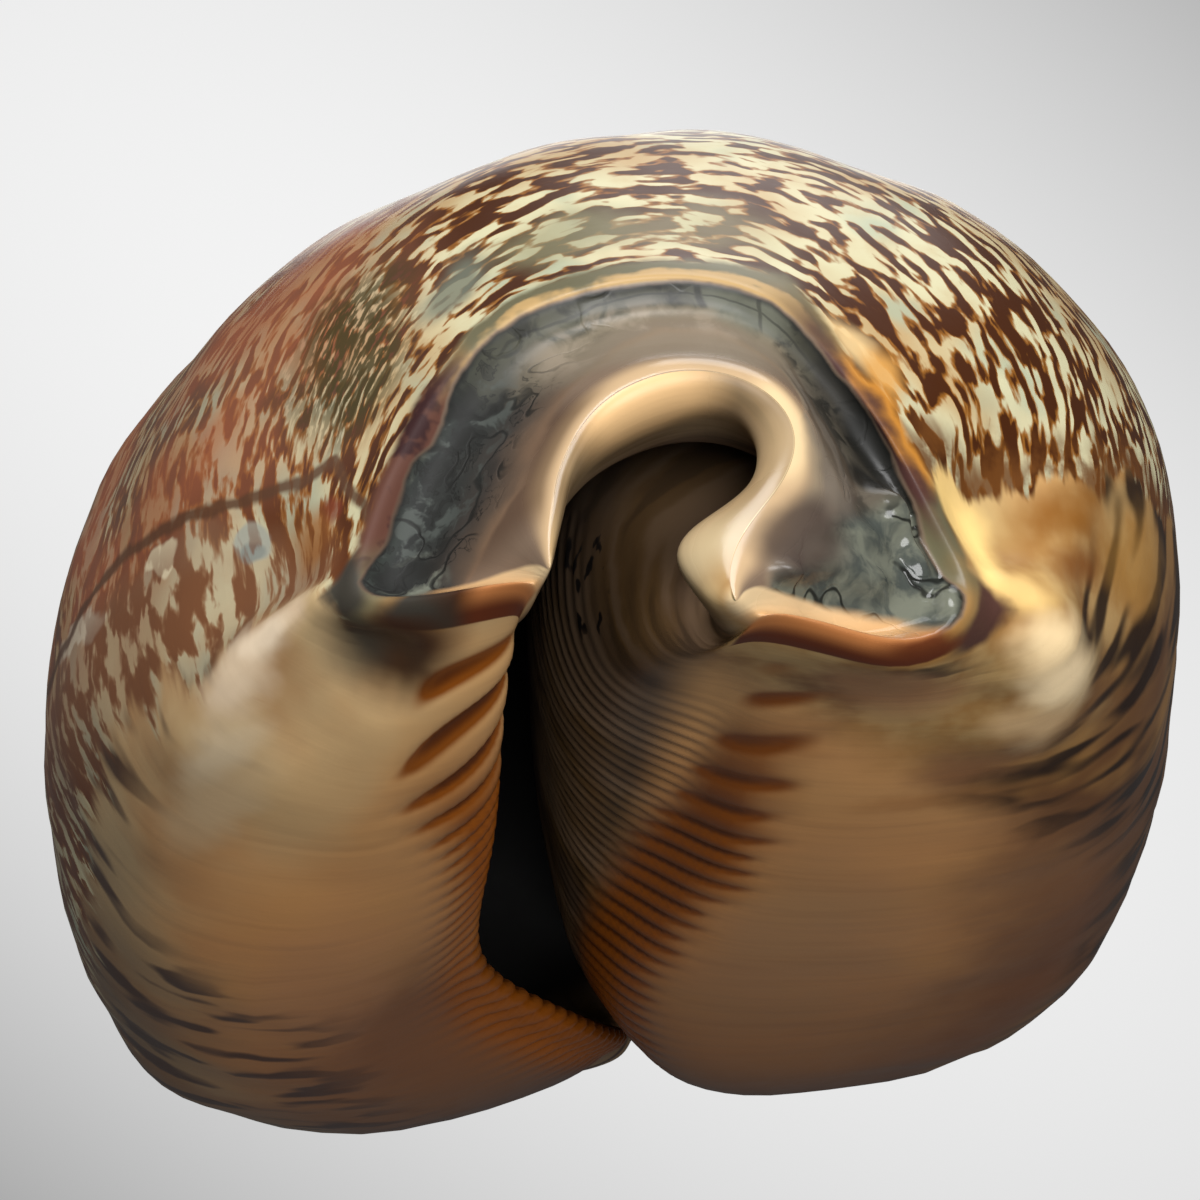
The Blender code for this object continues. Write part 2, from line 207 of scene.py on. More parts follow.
@dataclass
class ShellForm:
    """The shell's outlines, in the solid's own dimensions, and the smooth surface lofted over them."""

    wall: float = 2.4
    throat_y: float = -33.8
    back_lift: float = 9.4
    back_canal_x: float = 3.8
    back_feet_drawn: float = 1.2
    origin: Point = (-0.25, -0.96, 0.14)

    # ------------------------------------------------ body
    def body_outside(self, s: Station) -> list[Point]:
        """The outside of one station.

        Args:
            s: The station.

        Returns:
            OUTSIDE points: labial lip edge, base, flank, back, flank, base, columellar lip edge.
        """
        height = s.top - s.base
        labial_rise = s.labial_z - s.base
        columellar_rise = s.columellar_z - s.base
        hull = [(x * (s.left if x < 0 else s.right), s.base + z * height) for x, z in OUTER_HULL]
        labial = [
            (s.labial_x, s.labial_z + 0.5),
            (s.labial_x - 0.7, s.base + 0.5 * labial_rise),
            (s.labial_x - 3.4, s.base + 0.1 * labial_rise),
            (0.2 * s.labial_x - 0.62 * s.left, s.base - 0.3),
        ]
        columellar = [
            (0.2 * s.columellar_x + 0.62 * s.right, s.base - 0.2),
            (s.columellar_x + 4.6, s.base + 0.1 * columellar_rise),
            (s.columellar_x + 1.3, s.base + 0.5 * columellar_rise),
            (s.columellar_x, s.columellar_z + 0.6),
        ]
        return at(s.y, labial + hull + columellar)

    def body_inside(self, s: Station) -> list[Point]:
        """The whorl's hollow at one station.

        Args:
            s: The station.

        Returns:
            Its points, from the labial lip's wall under the roof to the columella.
        """
        height = s.top - s.base
        size = min(1.0, height / 38.0)
        wall = self.wall
        labial_wall = [
            (0.62 * s.labial_x - 0.25 * s.left - 0.3, s.base + 0.09 * height + 1.6),
            (-0.78 * s.left, s.base + 0.19 * height),
            (wall - 0.98 * s.left, s.base + 0.42 * height),
            (0.6 * wall - 0.84 * s.left, s.base + 0.70 * height),
            (-0.52 * s.left, s.base + 0.92 * height - wall),
        ]
        roof = [
            (0.0, s.base + 1.02 * height - wall),
            (0.50 * s.right, s.base + 0.95 * height - wall),
        ]
        columellar_wall = [
            (0.86 * s.right - 0.7 * wall, s.base + 0.74 * height),
            (0.99 * s.right - wall, s.base + 0.52 * height),
            (0.99 * s.right - wall, s.base + 0.33 * height),
            (0.74 * s.right, s.base + 0.20 * height),
            (0.54 * s.right, s.base + 0.27 * height),
        ]
        columella = [
            (s.columellar_x + 11.0 * size, s.base + 0.48 * height),
            (s.columellar_x + 8.0 * size, s.base + 0.64 * height),
            (s.columellar_x + 2.0 * size, s.base + 0.70 * height),
            (s.bulge_x + 1.0, s.base + 0.58 * height),
            (s.bulge_x, s.base + 0.38 * height),
            (s.bulge_x + 0.5, s.columellar_z + 5.6 * size),
            (0.55 * s.bulge_x + 0.45 * s.columellar_x, s.columellar_z + 2.6 * size),
        ]
        return at(s.y, labial_wall + roof + columellar_wall + columella)

    def passage_to(
        self, s: Station, passage: list[Point], lips: tuple[float, float], lift: float
    ) -> list[Point]:
        """Carries a canal's passage on to a station, its sides kept behind the lips there.

        Args:
            s: The station.
            passage: The canal's points.
            lips: Where the passage's own two sides are, across.
            lift: How far it rises on the way.

        Returns:
            As many points, at the station.
        """
        left = s.labial_x - lips[0]
        right = s.columellar_x - lips[1]
        last = len(passage) - 1
        return [
            (x + left + (right - left) * i / last, s.y, z + lift)
            for i, (x, _, z) in enumerate(passage)
        ]

    # ------------------------------------------------ front end
    def front_passage(self, s: Station) -> list[Point]:
        """The inside of a station in front of the middle, where the throat opens into the whorl."""
        narrow = self.passage_to(s, at(s.y, list(THROAT)), (-4.9, 2.9), 0.0)
        return mix(narrow, self.body_inside(s), s.hollow)

    def front_rings(self) -> list[tuple[list[Point], list[Point]]]:
        """The front end's rings.

        Returns:
            Pairs of an outside and an inside, from behind the rim to the body's neck.
        """
        rim, crest = list(FRONT_RIM), list(FRONT_CREST)
        deepest = [min(1.0, 0.42 * min(k, OUTSIDE - 1 - k)) for k in range(OUTSIDE)]

        def moat(share: float, depth: float) -> list[Point]:
            """A ring of the moat's floor, a share of the way to the crest and sunk by a depth."""
            return [(x, y + depth * d, z) for (x, y, z), d in zip(mix(rim, crest, share), deepest)]

        middle_x, middle_z, spread = 0.8, 6.5, 1.1
        neck = []
        for k, (x, y, z) in enumerate(crest):
            if 4 <= k <= OUTSIDE - 5:
                wide_x = middle_x + (x - middle_x) * spread
                neck.append((wide_x, y + 1.6, middle_z + (z - middle_z) * spread))
            else:
                neck.append((x - 0.5, y + 1.5, z - 1.0 * deepest[k]))
        throat = at(self.throat_y, list(THROAT))
        canal = list(FRONT_CANAL)
        outside = [moat(0.25, 0.3), moat(0.52, 1.7), moat(0.86, 1.9), crest, neck]
        inside = [
            canal,
            mix(canal, throat, 0.38),
            mix(canal, throat, 0.75),
            throat,
            mix(throat, self.front_passage(BODY[0]), 0.45),
        ]
        return list(zip(outside, inside))

    # ------------------------------------------------ back end
    def arch(self, y: float, half: float, foot: float, top: float) -> list[Point]:
        """The back canal's outline: an upright arch, its two feet drawn inwards.

        Args:
            y: Where it stands.
            half: Half its width.
            foot: How high its feet are.
            top: How high its top is.

        Returns:
            OUTSIDE points, from the left foot to the right one.
        """
        points = []
        for k in range(OUTSIDE):
            angle = math.pi * (1 - k / (OUTSIDE - 1))
            across = math.copysign(abs(math.cos(angle)) ** 0.75, math.cos(angle))
            drawn = self.back_feet_drawn * (1 - math.sin(angle)) ** 2
            up = foot + (top - foot) * math.sin(angle) ** 0.9
            points.append((self.back_canal_x + half * across, y - drawn, up))
        return points

    def collar(
        self, y: float, half: float, base: float, corner: float, top: float, dx: float
    ) -> list[Point]:
        """A ring of the back end outside its canal: lip, underside, corner and arch, mirrored.

        Args:
            y: Where it stands.
            half: Half its width.
            base: The height of its underside.
            corner: The height where its flank begins.
            top: The height of its top.
            dx: How far its middle lies from the canal's.

        Returns:
            OUTSIDE points, from the left lip to the right one.
        """
        gap = 1.9
        x0 = self.back_canal_x + dx
        side = [
            (gap, self.back_lift - 0.4),
            (gap + 0.35 * (half - gap), base + 0.3),
            (gap + 0.60 * (half - gap), base + 0.2),
            (0.85 * half, base + 0.3 * (corner - base)),
        ]
        steps = OUTSIDE // 2 - len(side)
        for i in range(steps):
            angle = 0.5 * math.pi * i / steps
            side.append((half * math.cos(angle) ** 0.9, corner + (top - corner) * math.sin(angle)))
        left = [(x0 - x, z) for x, z in side]
        right = [(x0 + x, z) for x, z in reversed(side)]
        return at(y, left + [(x0, top)] + right)

    def back_passage(self, s: Station) -> list[Point]:
        """The inside of a station behind the middle, where the whorl narrows to the back canal.

        Args:
            s: The station.

        Returns:
            Its points, labial side first.
        """
        throat = self.back_throat()
        lift = 0.5 * (s.labial_z + s.columellar_z) - 8.2
        narrow = self.passage_to(s, throat, (throat[0][0] - 0.3, throat[-1][0] + 0.3), lift)
        return mix(narrow, self.body_inside(s), s.hollow)

    def back_throat(self) -> list[Point]:
        """The back canal's passage where it meets the whorl."""
        return self.arch(32.5, 2.2, self.back_lift, 14.6)[1:-1]

    def back_rings(self) -> list[tuple[list[Point], list[Point]]]:
        """The back end's rings.

        Returns:
            Pairs of an outside and an inside, from the body's neck to before the rim.
        """
        throat = self.back_throat()
        mouth = self.arch(35.8, 1.1, self.back_lift + 0.1, 12.6)[1:-1]
        outside = [
            self.collar(32.2, 11.0, 6.6, 9.6, 21.6, -1.0),
            self.collar(34.6, 8.2, 7.6, 10.0, 18.8, -0.4),
            self.collar(35.8, 6.0, 8.2, 10.4, 17.0, 0.0),
            self.arch(36.9, 3.4, self.back_lift - 0.7, 15.4),
        ]
        inside = [
            mix(throat, self.back_passage(BODY[-1]), 0.45),
            mix(mouth, throat, 0.75),
            mix(mouth, throat, 0.40),
            mouth,
        ]
        return list(zip(outside, inside))

    # ------------------------------------------------ surface
    def net(self) -> Array:
        """The control points of the surface.

        Returns:
            One row per ring, rim to rim, with AROUND points in each, in millimetres.
        """
        pairs = self.front_rings()
        for s in BODY:
            inside = self.front_passage(s) if s.y < 0 else self.back_passage(s)
            pairs.append((self.body_outside(s), inside))
        pairs += self.back_rings()
        rows = [outside + inside[::-1] for outside, inside in pairs]
        front = list(FRONT_RIM)
        back = self.arch(36.6, 1.8, self.back_lift, 13.4)
        rows.insert(0, front + front[1:-1][::-1])
        rows.append(back + back[1:-1][::-1])
        return np.array(rows, float) - np.array(self.origin)

    def surface(self, course: Array, round_: Array) -> Array:
        """Points of the smooth surface.

        Args:
            course: Places from the front rim (0) to the back one, in rings.
            round_: Places round an outline, in its points.

        Returns:
            An array of course by round_ by 3, in millimetres.
        """
        net = self.net()
        mirror = [(AROUND - p) % AROUND for p in range(AROUND)]
        wide = np.concatenate([net[1][mirror][None], net, net[-2][mirror][None]])
        row = np.clip(np.floor(course).astype(int), 0, len(net) - 2)
        weights = self.basis(course - row)
        lines = sum(weights[:, j, None, None] * wide[row + j] for j in range(4))
        place = np.floor(round_).astype(int)
        weights = self.basis(round_ - place)
        return sum(weights[:, j][None, :, None] * lines[:, (place - 1 + j) % AROUND] for j in range(4))

    @staticmethod
    def basis(share: Array) -> Array:
        """The four weights of a uniform cubic B-spline.

        Args:
            share: How far along its stretch each place is, from 0 to 1.

        Returns:
            An array with four columns.
        """
        t = share
        first, second = (1 - t) ** 3 / 6, (3 * t**3 - 6 * t**2 + 4) / 6
        third, fourth = (-3 * t**3 + 3 * t**2 + 3 * t + 1) / 6, t**3 / 6
        return np.stack([first, second, third, fourth], -1)


# ---------------------------------------------------------------- front relief
@dataclass(frozen=True)
class Lump:
    """One rounded rise (or, with a negative height, a dent) of the front end."""

    course: float
    round_: float
    course_reach: float
    round_reach: float
    height: float  # millimetres

    def on(self, course: Array, round_: Array) -> Array:
        """Its height at each place of the surface."""
        along, around = (course - self.course) / self.course_reach, (round_ - self.round_) / self.round_reach
        return self.height * np.exp(-((along**2 + around**2) ** 1.4))


@dataclass
class FrontRelief:
    """Where the front end's ridge, moat and rim run, and what stands up or sinks between them.

    Each line is a table of places: the outline's point, then how far from the front rim, in rings.
    """

    crest: tuple[tuple[float, float], ...] = (
        (0.0, 4.6), (3.0, 4.7), (4.34, 4.70), (5.0, 4.1), (6.06, 4.13), (7.8, 4.3), (8.83, 4.6),
        (9.53, 4.57), (10.38, 4.62), (11.0, 4.66), (11.94, 4.84), (12.58, 4.57), (13.02, 4.33),
        (13.31, 4.63), (13.88, 4.4), (14.39, 4.51), (15.34, 4.15), (15.64, 4.6), (15.88, 4.9),
        (16.6, 4.8), (20.0, 4.6),
    )
    moat_outer: tuple[tuple[float, float], ...] = (
        (0.0, 3.2), (2.6, 3.3), (3.3, 3.7), (4.24, 3.94), (4.66, 3.68), (5.04, 3.42), (5.63, 3.46),
        (6.13, 3.59), (6.43, 3.62), (6.71, 3.36), (7.12, 3.38), (7.7, 3.72), (8.36, 3.93),
        (8.94, 3.95), (9.41, 3.83), (10.1, 3.82), (11.0, 3.89), (11.86, 3.98), (12.61, 3.76),
        (13.3, 3.80), (14.15, 3.54), (14.53, 3.56), (15.04, 3.22), (15.54, 3.34), (15.92, 3.90),
        (16.25, 4.06), (16.62, 4.10), (17.2, 3.7), (18.0, 3.2), (20.0, 3.2),
    )
    moat_inner: tuple[tuple[float, float], ...] = (
        (0.0, 3.1), (2.4, 3.0), (3.18, 1.83), (3.8, 1.22), (4.39, 0.75), (6.07, 0.91), (7.6, 1.22),
        (8.84, 1.54), (10.26, 2.43), (11.1, 2.36), (12.05, 1.86), (13.0, 0.45), (14.57, 0.47),
        (16.03, 0.48), (17.0, 0.62), (17.5, 0.78), (17.9, 1.05),
        (18.2, 1.4), (18.5, 2.2), (18.7, 3.1), (20.0, 3.1),
    )
    lumps: tuple[Lump, ...] = (
        Lump(2.50, 14.68, 0.46, 0.42, 1.0), Lump(2.78, 15.37, 0.34, 0.34, 0.48),
        Lump(1.86, 16.16, 0.42, 0.36, 0.42), Lump(1.26, 16.46, 0.30, 0.34, 0.28),
        Lump(1.06, 17.10, 0.30, 0.22, 0.24), Lump(3.40, 15.96, 0.34, 0.26, 0.30),
        Lump(1.9, 15.30, 0.40, 0.34, 0.30), Lump(3.2, 13.6, 0.60, 0.60, -0.35),
        Lump(1.05, 17.25, 0.28, 0.30, 0.35),
        Lump(5.25, 14.75, 0.50, 0.65, -0.9), Lump(5.10, 15.60, 0.32, 0.36, 0.45),
        Lump(5.55, 15.98, 0.36, 0.34, 0.75), Lump(6.0, 16.35, 0.40, 0.36, 0.85),
        Lump(6.5, 16.75, 0.36, 0.42, 0.55), Lump(6.2, 15.45, 0.45, 0.40, -0.45),
        Lump(5.2, 4.45, 0.45, 0.26, 0.5), Lump(5.9, 4.52, 0.55, 0.28, 0.75),
        Lump(6.5, 4.25, 0.45, 0.30, 0.55), Lump(5.9, 5.15, 0.60, 0.40, -0.45),
        Lump(5.35, 3.30, 0.45, 0.80, -0.8), Lump(6.0, 3.75, 0.4, 0.4, -0.3),
        Lump(7.4, 13.5, 2.0, 1.20, 0.95), Lump(11.6, 1.3, 2.6, 1.25, -1.2),
        Lump(8.5, 4.4, 0.9, 0.5, -0.4), Lump(8.0, 6.3, 0.9, 0.6, 0.35),
        Lump(11.5, 18.2, 1.2, 0.7, 0.45), Lump(11.0, 16.3, 1.0, 0.6, 0.45),
    )

    left_roll: tuple[tuple[float, float], ...] = (
        (0.0, -0.2), (0.6, 0.1), (1.09, 0.88), (2.29, 2.56), (2.75, 3.25), (3.83, 3.25), (4.6, 3.4),
        (5.2, 3.0),
    )
    right_roll: tuple[tuple[float, float], ...] = (
        (0.0, 21.0), (0.3, 20.3), (0.74, 19.3), (1.1, 18.3), (1.6, 17.65), (1.9, 17.25), (2.27, 16.85),
        (2.8, 16.6), (4.12, 16.6), (4.6, 16.4), (5.2, 16.8),
    )

    def beaks(self, course: Array, round_: Array) -> tuple[Array, Array, Array]:
        """How far inside the rolled lips of the two beaks each place is, in millimetres.

        Args:
            course: Places from the front rim, in rings.
            round_: Places round the outline.

        Returns:
            The left beak's, the right beak's, and how strong they are there.
        """
        left = np.interp(course, *np.array(self.left_roll).T) - round_
        right = round_ - np.interp(course, *np.array(self.right_roll).T)
        fade = ease(5.15, 4.7, course)
        return 1.3 * left * fade - 3.0 * (1.0 - fade), 1.3 * right * fade - 3.0 * (1.0 - fade), fade

    @staticmethod
    def line(table: tuple[tuple[float, float], ...], round_: Array) -> Array:
        """How far from the rim a line runs, at each place round the outline."""
        places, courses = np.array(table).T
        return np.interp(np.where(round_ > COLUMELLAR_EDGE, AROUND - round_, round_), places, courses)

    def height(self, course: Array, round_: Array, points: Array) -> Array:
        """How far the surface is raised, in millimetres.

        Args:
            course: Places from the front rim, in rings.
            round_: Places round the outline.
            points: The same places in millimetres.

        Returns:
            A height for each place, 0 on the inside and at both rims.
        """
        total = np.zeros_like(course)
        for lump in self.lumps:
            total += lump.on(course, round_)
        outside = between(round_, 0.6, 19.4, 0.5)
        in_moat = ease(0.0, 0.35, self.line(self.moat_outer, round_) - course)
        in_moat = in_moat * ease(0.0, 0.5, course - self.line(self.moat_inner, round_))
        near = (course < 5.0) & (round_ < 20.0)
        wavy = np.zeros_like(course)
        rough = 0.25 + 0.75 * ease(14.0, 14.6, round_[near])
        wavy[near] = rough * (0.13 * bumpy(points[near], 2.1, 3.0) + 0.06 * bumpy(points[near], 0.9, 8.0))
        total += in_moat * wavy
        body = between(course, 6.0, 14.0, 0.8) * between(round_, 2.5, 17.5, 1.0)
        low = body > 0.01
        wavy[:] = 0.0
        wavy[low] = 0.40 * bumpy(points[low], 9.0, 5.0) + 0.16 * bumpy(points[low], 4.0, 2.0)
        total += body * wavy
        return total * outside * ease(0.1, 0.6, course) * ease(17.8, 17.2, course)


# ---------------------------------------------------------------- lip teeth
@dataclass
class LipTeeth:
    """The teeth of both lips and the ribs of the inner wall, cut by Geometry Nodes.

    The grooves are places where a running number, their count, is whole. Where they run and how
    strong they are is stored on the mesh, and the node tree turns it into height.
    """

    labial_depth: float = 0.34  # millimetres
    columellar_depth: float = 0.26
    rib_height: float = 0.20
    labial_sharpness: float = 2.2
    columellar_sharpness: float = 2.0
    first_labial: tuple[float, ...] = (-32.6, -29.8, -26.1, -23.4, -21.2)
    first_columellar: tuple[float, ...] = (-31.9, -28.5, -24.7, -21.2, -18.4, -16.2)

    @staticmethod
    def count(y: Array, first: tuple[float, ...], pitch: float) -> Array:
        """The running number of the grooves: whole at each of the first ones, then evenly on.

        Args:
            y: How far back each place is, in millimetres.
            first: Where the first grooves are.
            pitch: How far apart the later ones are.

        Returns:
            The number at each place.
        """
        places = list(first)
        while places[-1] < 40.0:
            places.append(places[-1] + pitch)
        places.insert(0, places[0] - 4.0)
        return np.interp(y, places, np.arange(len(places), dtype=float))

    def counts(self, course: Array, round_: Array, points: Array) -> tuple[Array, Array]:
        """The three families' running numbers and strengths.

        Args:
            course: Places from the front rim, in rings.
            round_: Places round the outline, below 0 on the labial lip's inside.
            points: The same places in millimetres.

        Returns:
            Two arrays of three columns: labial teeth, columellar teeth, wall ribs.
        """
        y = points[:, 1]
        sway = 0.25 * bumpy(points, 4.0, 11.0)
        slant = np.interp(
            y, (-34, -31, -27, -24, -21, -15, -5, 3, 10), (0.6, 0.9, 2.0, 1.7, 1.2, 0.75, 0.0, -2.2, -2.4)
        )
        labial = self.count(y - slant * (round_ - 1.0) + sway, self.first_labial, 1.55)
        columellar = self.count(y - 1.5 * (round_ - 19.5) + sway, self.first_columellar, 1.62)
        ribs = self.count(y + 0.4 * (round_ - 21.0) + 0.6 * sway, (-34.0,), 1.0)
        reach = np.interp(y, (-33, -27, -24, -19, -14, 0, 14, 30), (2.9, 2.75, 2.5, 2.0, 1.9, 1.95, 2.1, 1.8))
        along = between(course, 5.35, 13.6, 0.3)
        labial_weight = ease(0.0, -1.1, round_ - reach) * ease(-1.6, -0.4, round_) * along
        strong = np.interp(y, (-33, -22, -14, -6, 2, 30), (1.0, 1.0, 0.75, 0.5, 0.6, 0.8))
        inner = np.interp(y, (-33, -22, -18, -10, 0, 10, 30), (19.2, 19.9, 20.0, 20.5, 20.6, 20.7, 20.6))
        outer = np.interp(y, (-33, -24, -18, -8, 0, 10, 30), (18.2, 18.7, 18.8, 19.05, 19.1, 18.9, 18.8))
        outer = outer + 0.22 * bumpy(points, 2.4, 21.0)
        columellar_weight = ease(-0.45, 0.40, round_ - outer) * ease(0.35, -0.35, round_ - inner)
        fade = np.interp(y, (-34, -26, -20, 0, 30), (0.35, 0.6, 0.85, 1.0, 0.8))
        rib_weight = ease(-0.1, 0.5, round_ - inner) * ease(24.4, 23.0, round_)
        rib_weight = rib_weight * between(course, 7.0, 12.5, 0.9)
        return (
            np.stack([labial, columellar, ribs], 1),
            np.stack([labial_weight * strong, columellar_weight * fade * along, rib_weight], 1),
        )

    def sizes(self) -> dict[str, float]:
        """The tree's sizes, by the names of its inputs.

        Returns:
            Each size.
        """
        return {
            "Labial depth": self.labial_depth, "Columellar depth": self.columellar_depth,
            "Rib height": self.rib_height, "Labial sharpness": self.labial_sharpness,
            "Columellar sharpness": self.columellar_sharpness,
        }

    def tree(self) -> bpy.types.NodeTree:
        """The node tree that lowers the grooves and raises the ribs along the surface's normal.

        Returns:
            The tree, with an input for each size and for each zone's material.
        """
        tree = bpy.data.node_groups.new("lip teeth", "GeometryNodeTree")
        face = tree.interface
        face.new_socket("Geometry", in_out="INPUT", socket_type="NodeSocketGeometry")
        for name, value in self.sizes().items():
            face.new_socket(name, in_out="INPUT", socket_type="NodeSocketFloat").default_value = value
        for zone in ZONES:
            face.new_socket(zone.value, in_out="INPUT", socket_type="NodeSocketMaterial")
        face.new_socket("Geometry", in_out="OUTPUT", socket_type="NodeSocketGeometry")
        nodes, links = tree.nodes, tree.links
        source = nodes.new("NodeGroupInput")
        result = nodes.new("NodeGroupOutput")

        def attribute(name: str, kind: str) -> bpy.types.NodeSocket:
            """Reads what is stored on the mesh.

            Args:
                name: The name that it is stored under.
                kind: Its data type.

            Returns:
                Its value at each place.
            """
            read = nodes.new("GeometryNodeInputNamedAttribute")
            read.data_type = kind
            read.inputs["Name"].default_value = name
            return read.outputs["Attribute"]

        def stored(name: str) -> bpy.types.Node:
            """Reads three numbers stored on the mesh.

            Args:
                name: The name that they are stored under.

            Returns:
                A node with an output for each of them.
            """
            parts = nodes.new("ShaderNodeSeparateXYZ")
            links.new(attribute(name, "FLOAT_VECTOR"), parts.inputs[0])
            return parts

        def math_node(kind: str, *values: object) -> bpy.types.NodeSocket:
            """Adds one step of arithmetic.

            Args:
                kind: The operation.
                *values: Numbers or sockets.

            Returns:
                Its result.
            """
            step = nodes.new("ShaderNodeMath")
            step.operation = kind
            for slot, value in zip(step.inputs, values):
                if isinstance(value, bpy.types.NodeSocket):
                    links.new(value, slot)
                else:
                    slot.default_value = value
            return step.outputs[0]

        counts, weights = stored("tooth_count"), stored("tooth_weight")
        heights = []
        for place, lip in enumerate(("Labial", "Columellar")):
            depth, sharp = f"{lip} depth", f"{lip} sharpness"
            turn = math_node("MULTIPLY", counts.outputs[place], TAU)
            wave = math_node("MULTIPLY_ADD", math_node("COSINE", turn), 0.5, 0.5)
            groove = math_node("POWER", wave, source.outputs[sharp])
            cut = math_node("MULTIPLY", math_node("SUBTRACT", 0.35, groove), weights.outputs[place])
            heights.append(math_node("MULTIPLY", cut, source.outputs[depth]))
        turn = math_node("MULTIPLY", counts.outputs[2], TAU)
        rib = math_node("MULTIPLY", math_node("MULTIPLY", math_node("SINE", turn), 0.5), weights.outputs[2])
        heights.append(math_node("MULTIPLY", rib, source.outputs["Rib height"]))
        total = math_node("ADD", math_node("ADD", heights[0], heights[1]), heights[2])
        push = nodes.new("ShaderNodeVectorMath")
        push.operation = "SCALE"
        links.new(nodes.new("GeometryNodeInputNormal").outputs["Normal"], push.inputs[0])
        links.new(math_node("MULTIPLY", total, MM), push.inputs["Scale"])
        move = nodes.new("GeometryNodeSetPosition")
        links.new(source.outputs["Geometry"], move.inputs["Geometry"])
        links.new(push.outputs[0], move.inputs["Offset"])
        last = nodes.new("GeometryNodeRealizeInstances")
        links.new(move.outputs[0], last.inputs[0])
        number = attribute("zone", "INT")
        for place, zone in enumerate(ZONES):
            dress = nodes.new("GeometryNodeSetMaterial")
            links.new(last.outputs[0], dress.inputs["Geometry"])
            links.new(math_node("COMPARE", number, float(place), 0.5), dress.inputs["Selection"])
            links.new(source.outputs[zone.value], dress.inputs["Material"])
            last = dress
        links.new(last.outputs[0], result.inputs[0])
        return tree

    def cut(self, piece: bpy.types.Object, finishes: dict[Zone, bpy.types.Material]) -> None:
        """Cuts the teeth into a piece and leaves it a plain mesh.

        Args:
            piece: The piece, its counts and strengths stored on it.
            finishes: The material that the tree sets on each zone.
        """
        tree = self.tree()
        modifier = piece.modifiers.new("lip teeth", "NODES")
        modifier.node_group = tree
        values = {**self.sizes(), **{zone.value: finish for zone, finish in finishes.items()}}
        for item in tree.interface.items_tree:
            if item.in_out == "INPUT" and item.name in values:
                modifier[item.identifier] = values[item.name]
        bpy.context.view_layer.update()
        depsgraph = bpy.context.evaluated_depsgraph_get()
        plain = bpy.data.meshes.new_from_object(
            piece.evaluated_get(depsgraph), preserve_all_data_layers=True, depsgraph=depsgraph
        )
        piece.modifiers.remove(modifier)
        old = piece.data
        piece.data = plain
        plain.name = piece.name
        bpy.data.meshes.remove(old)


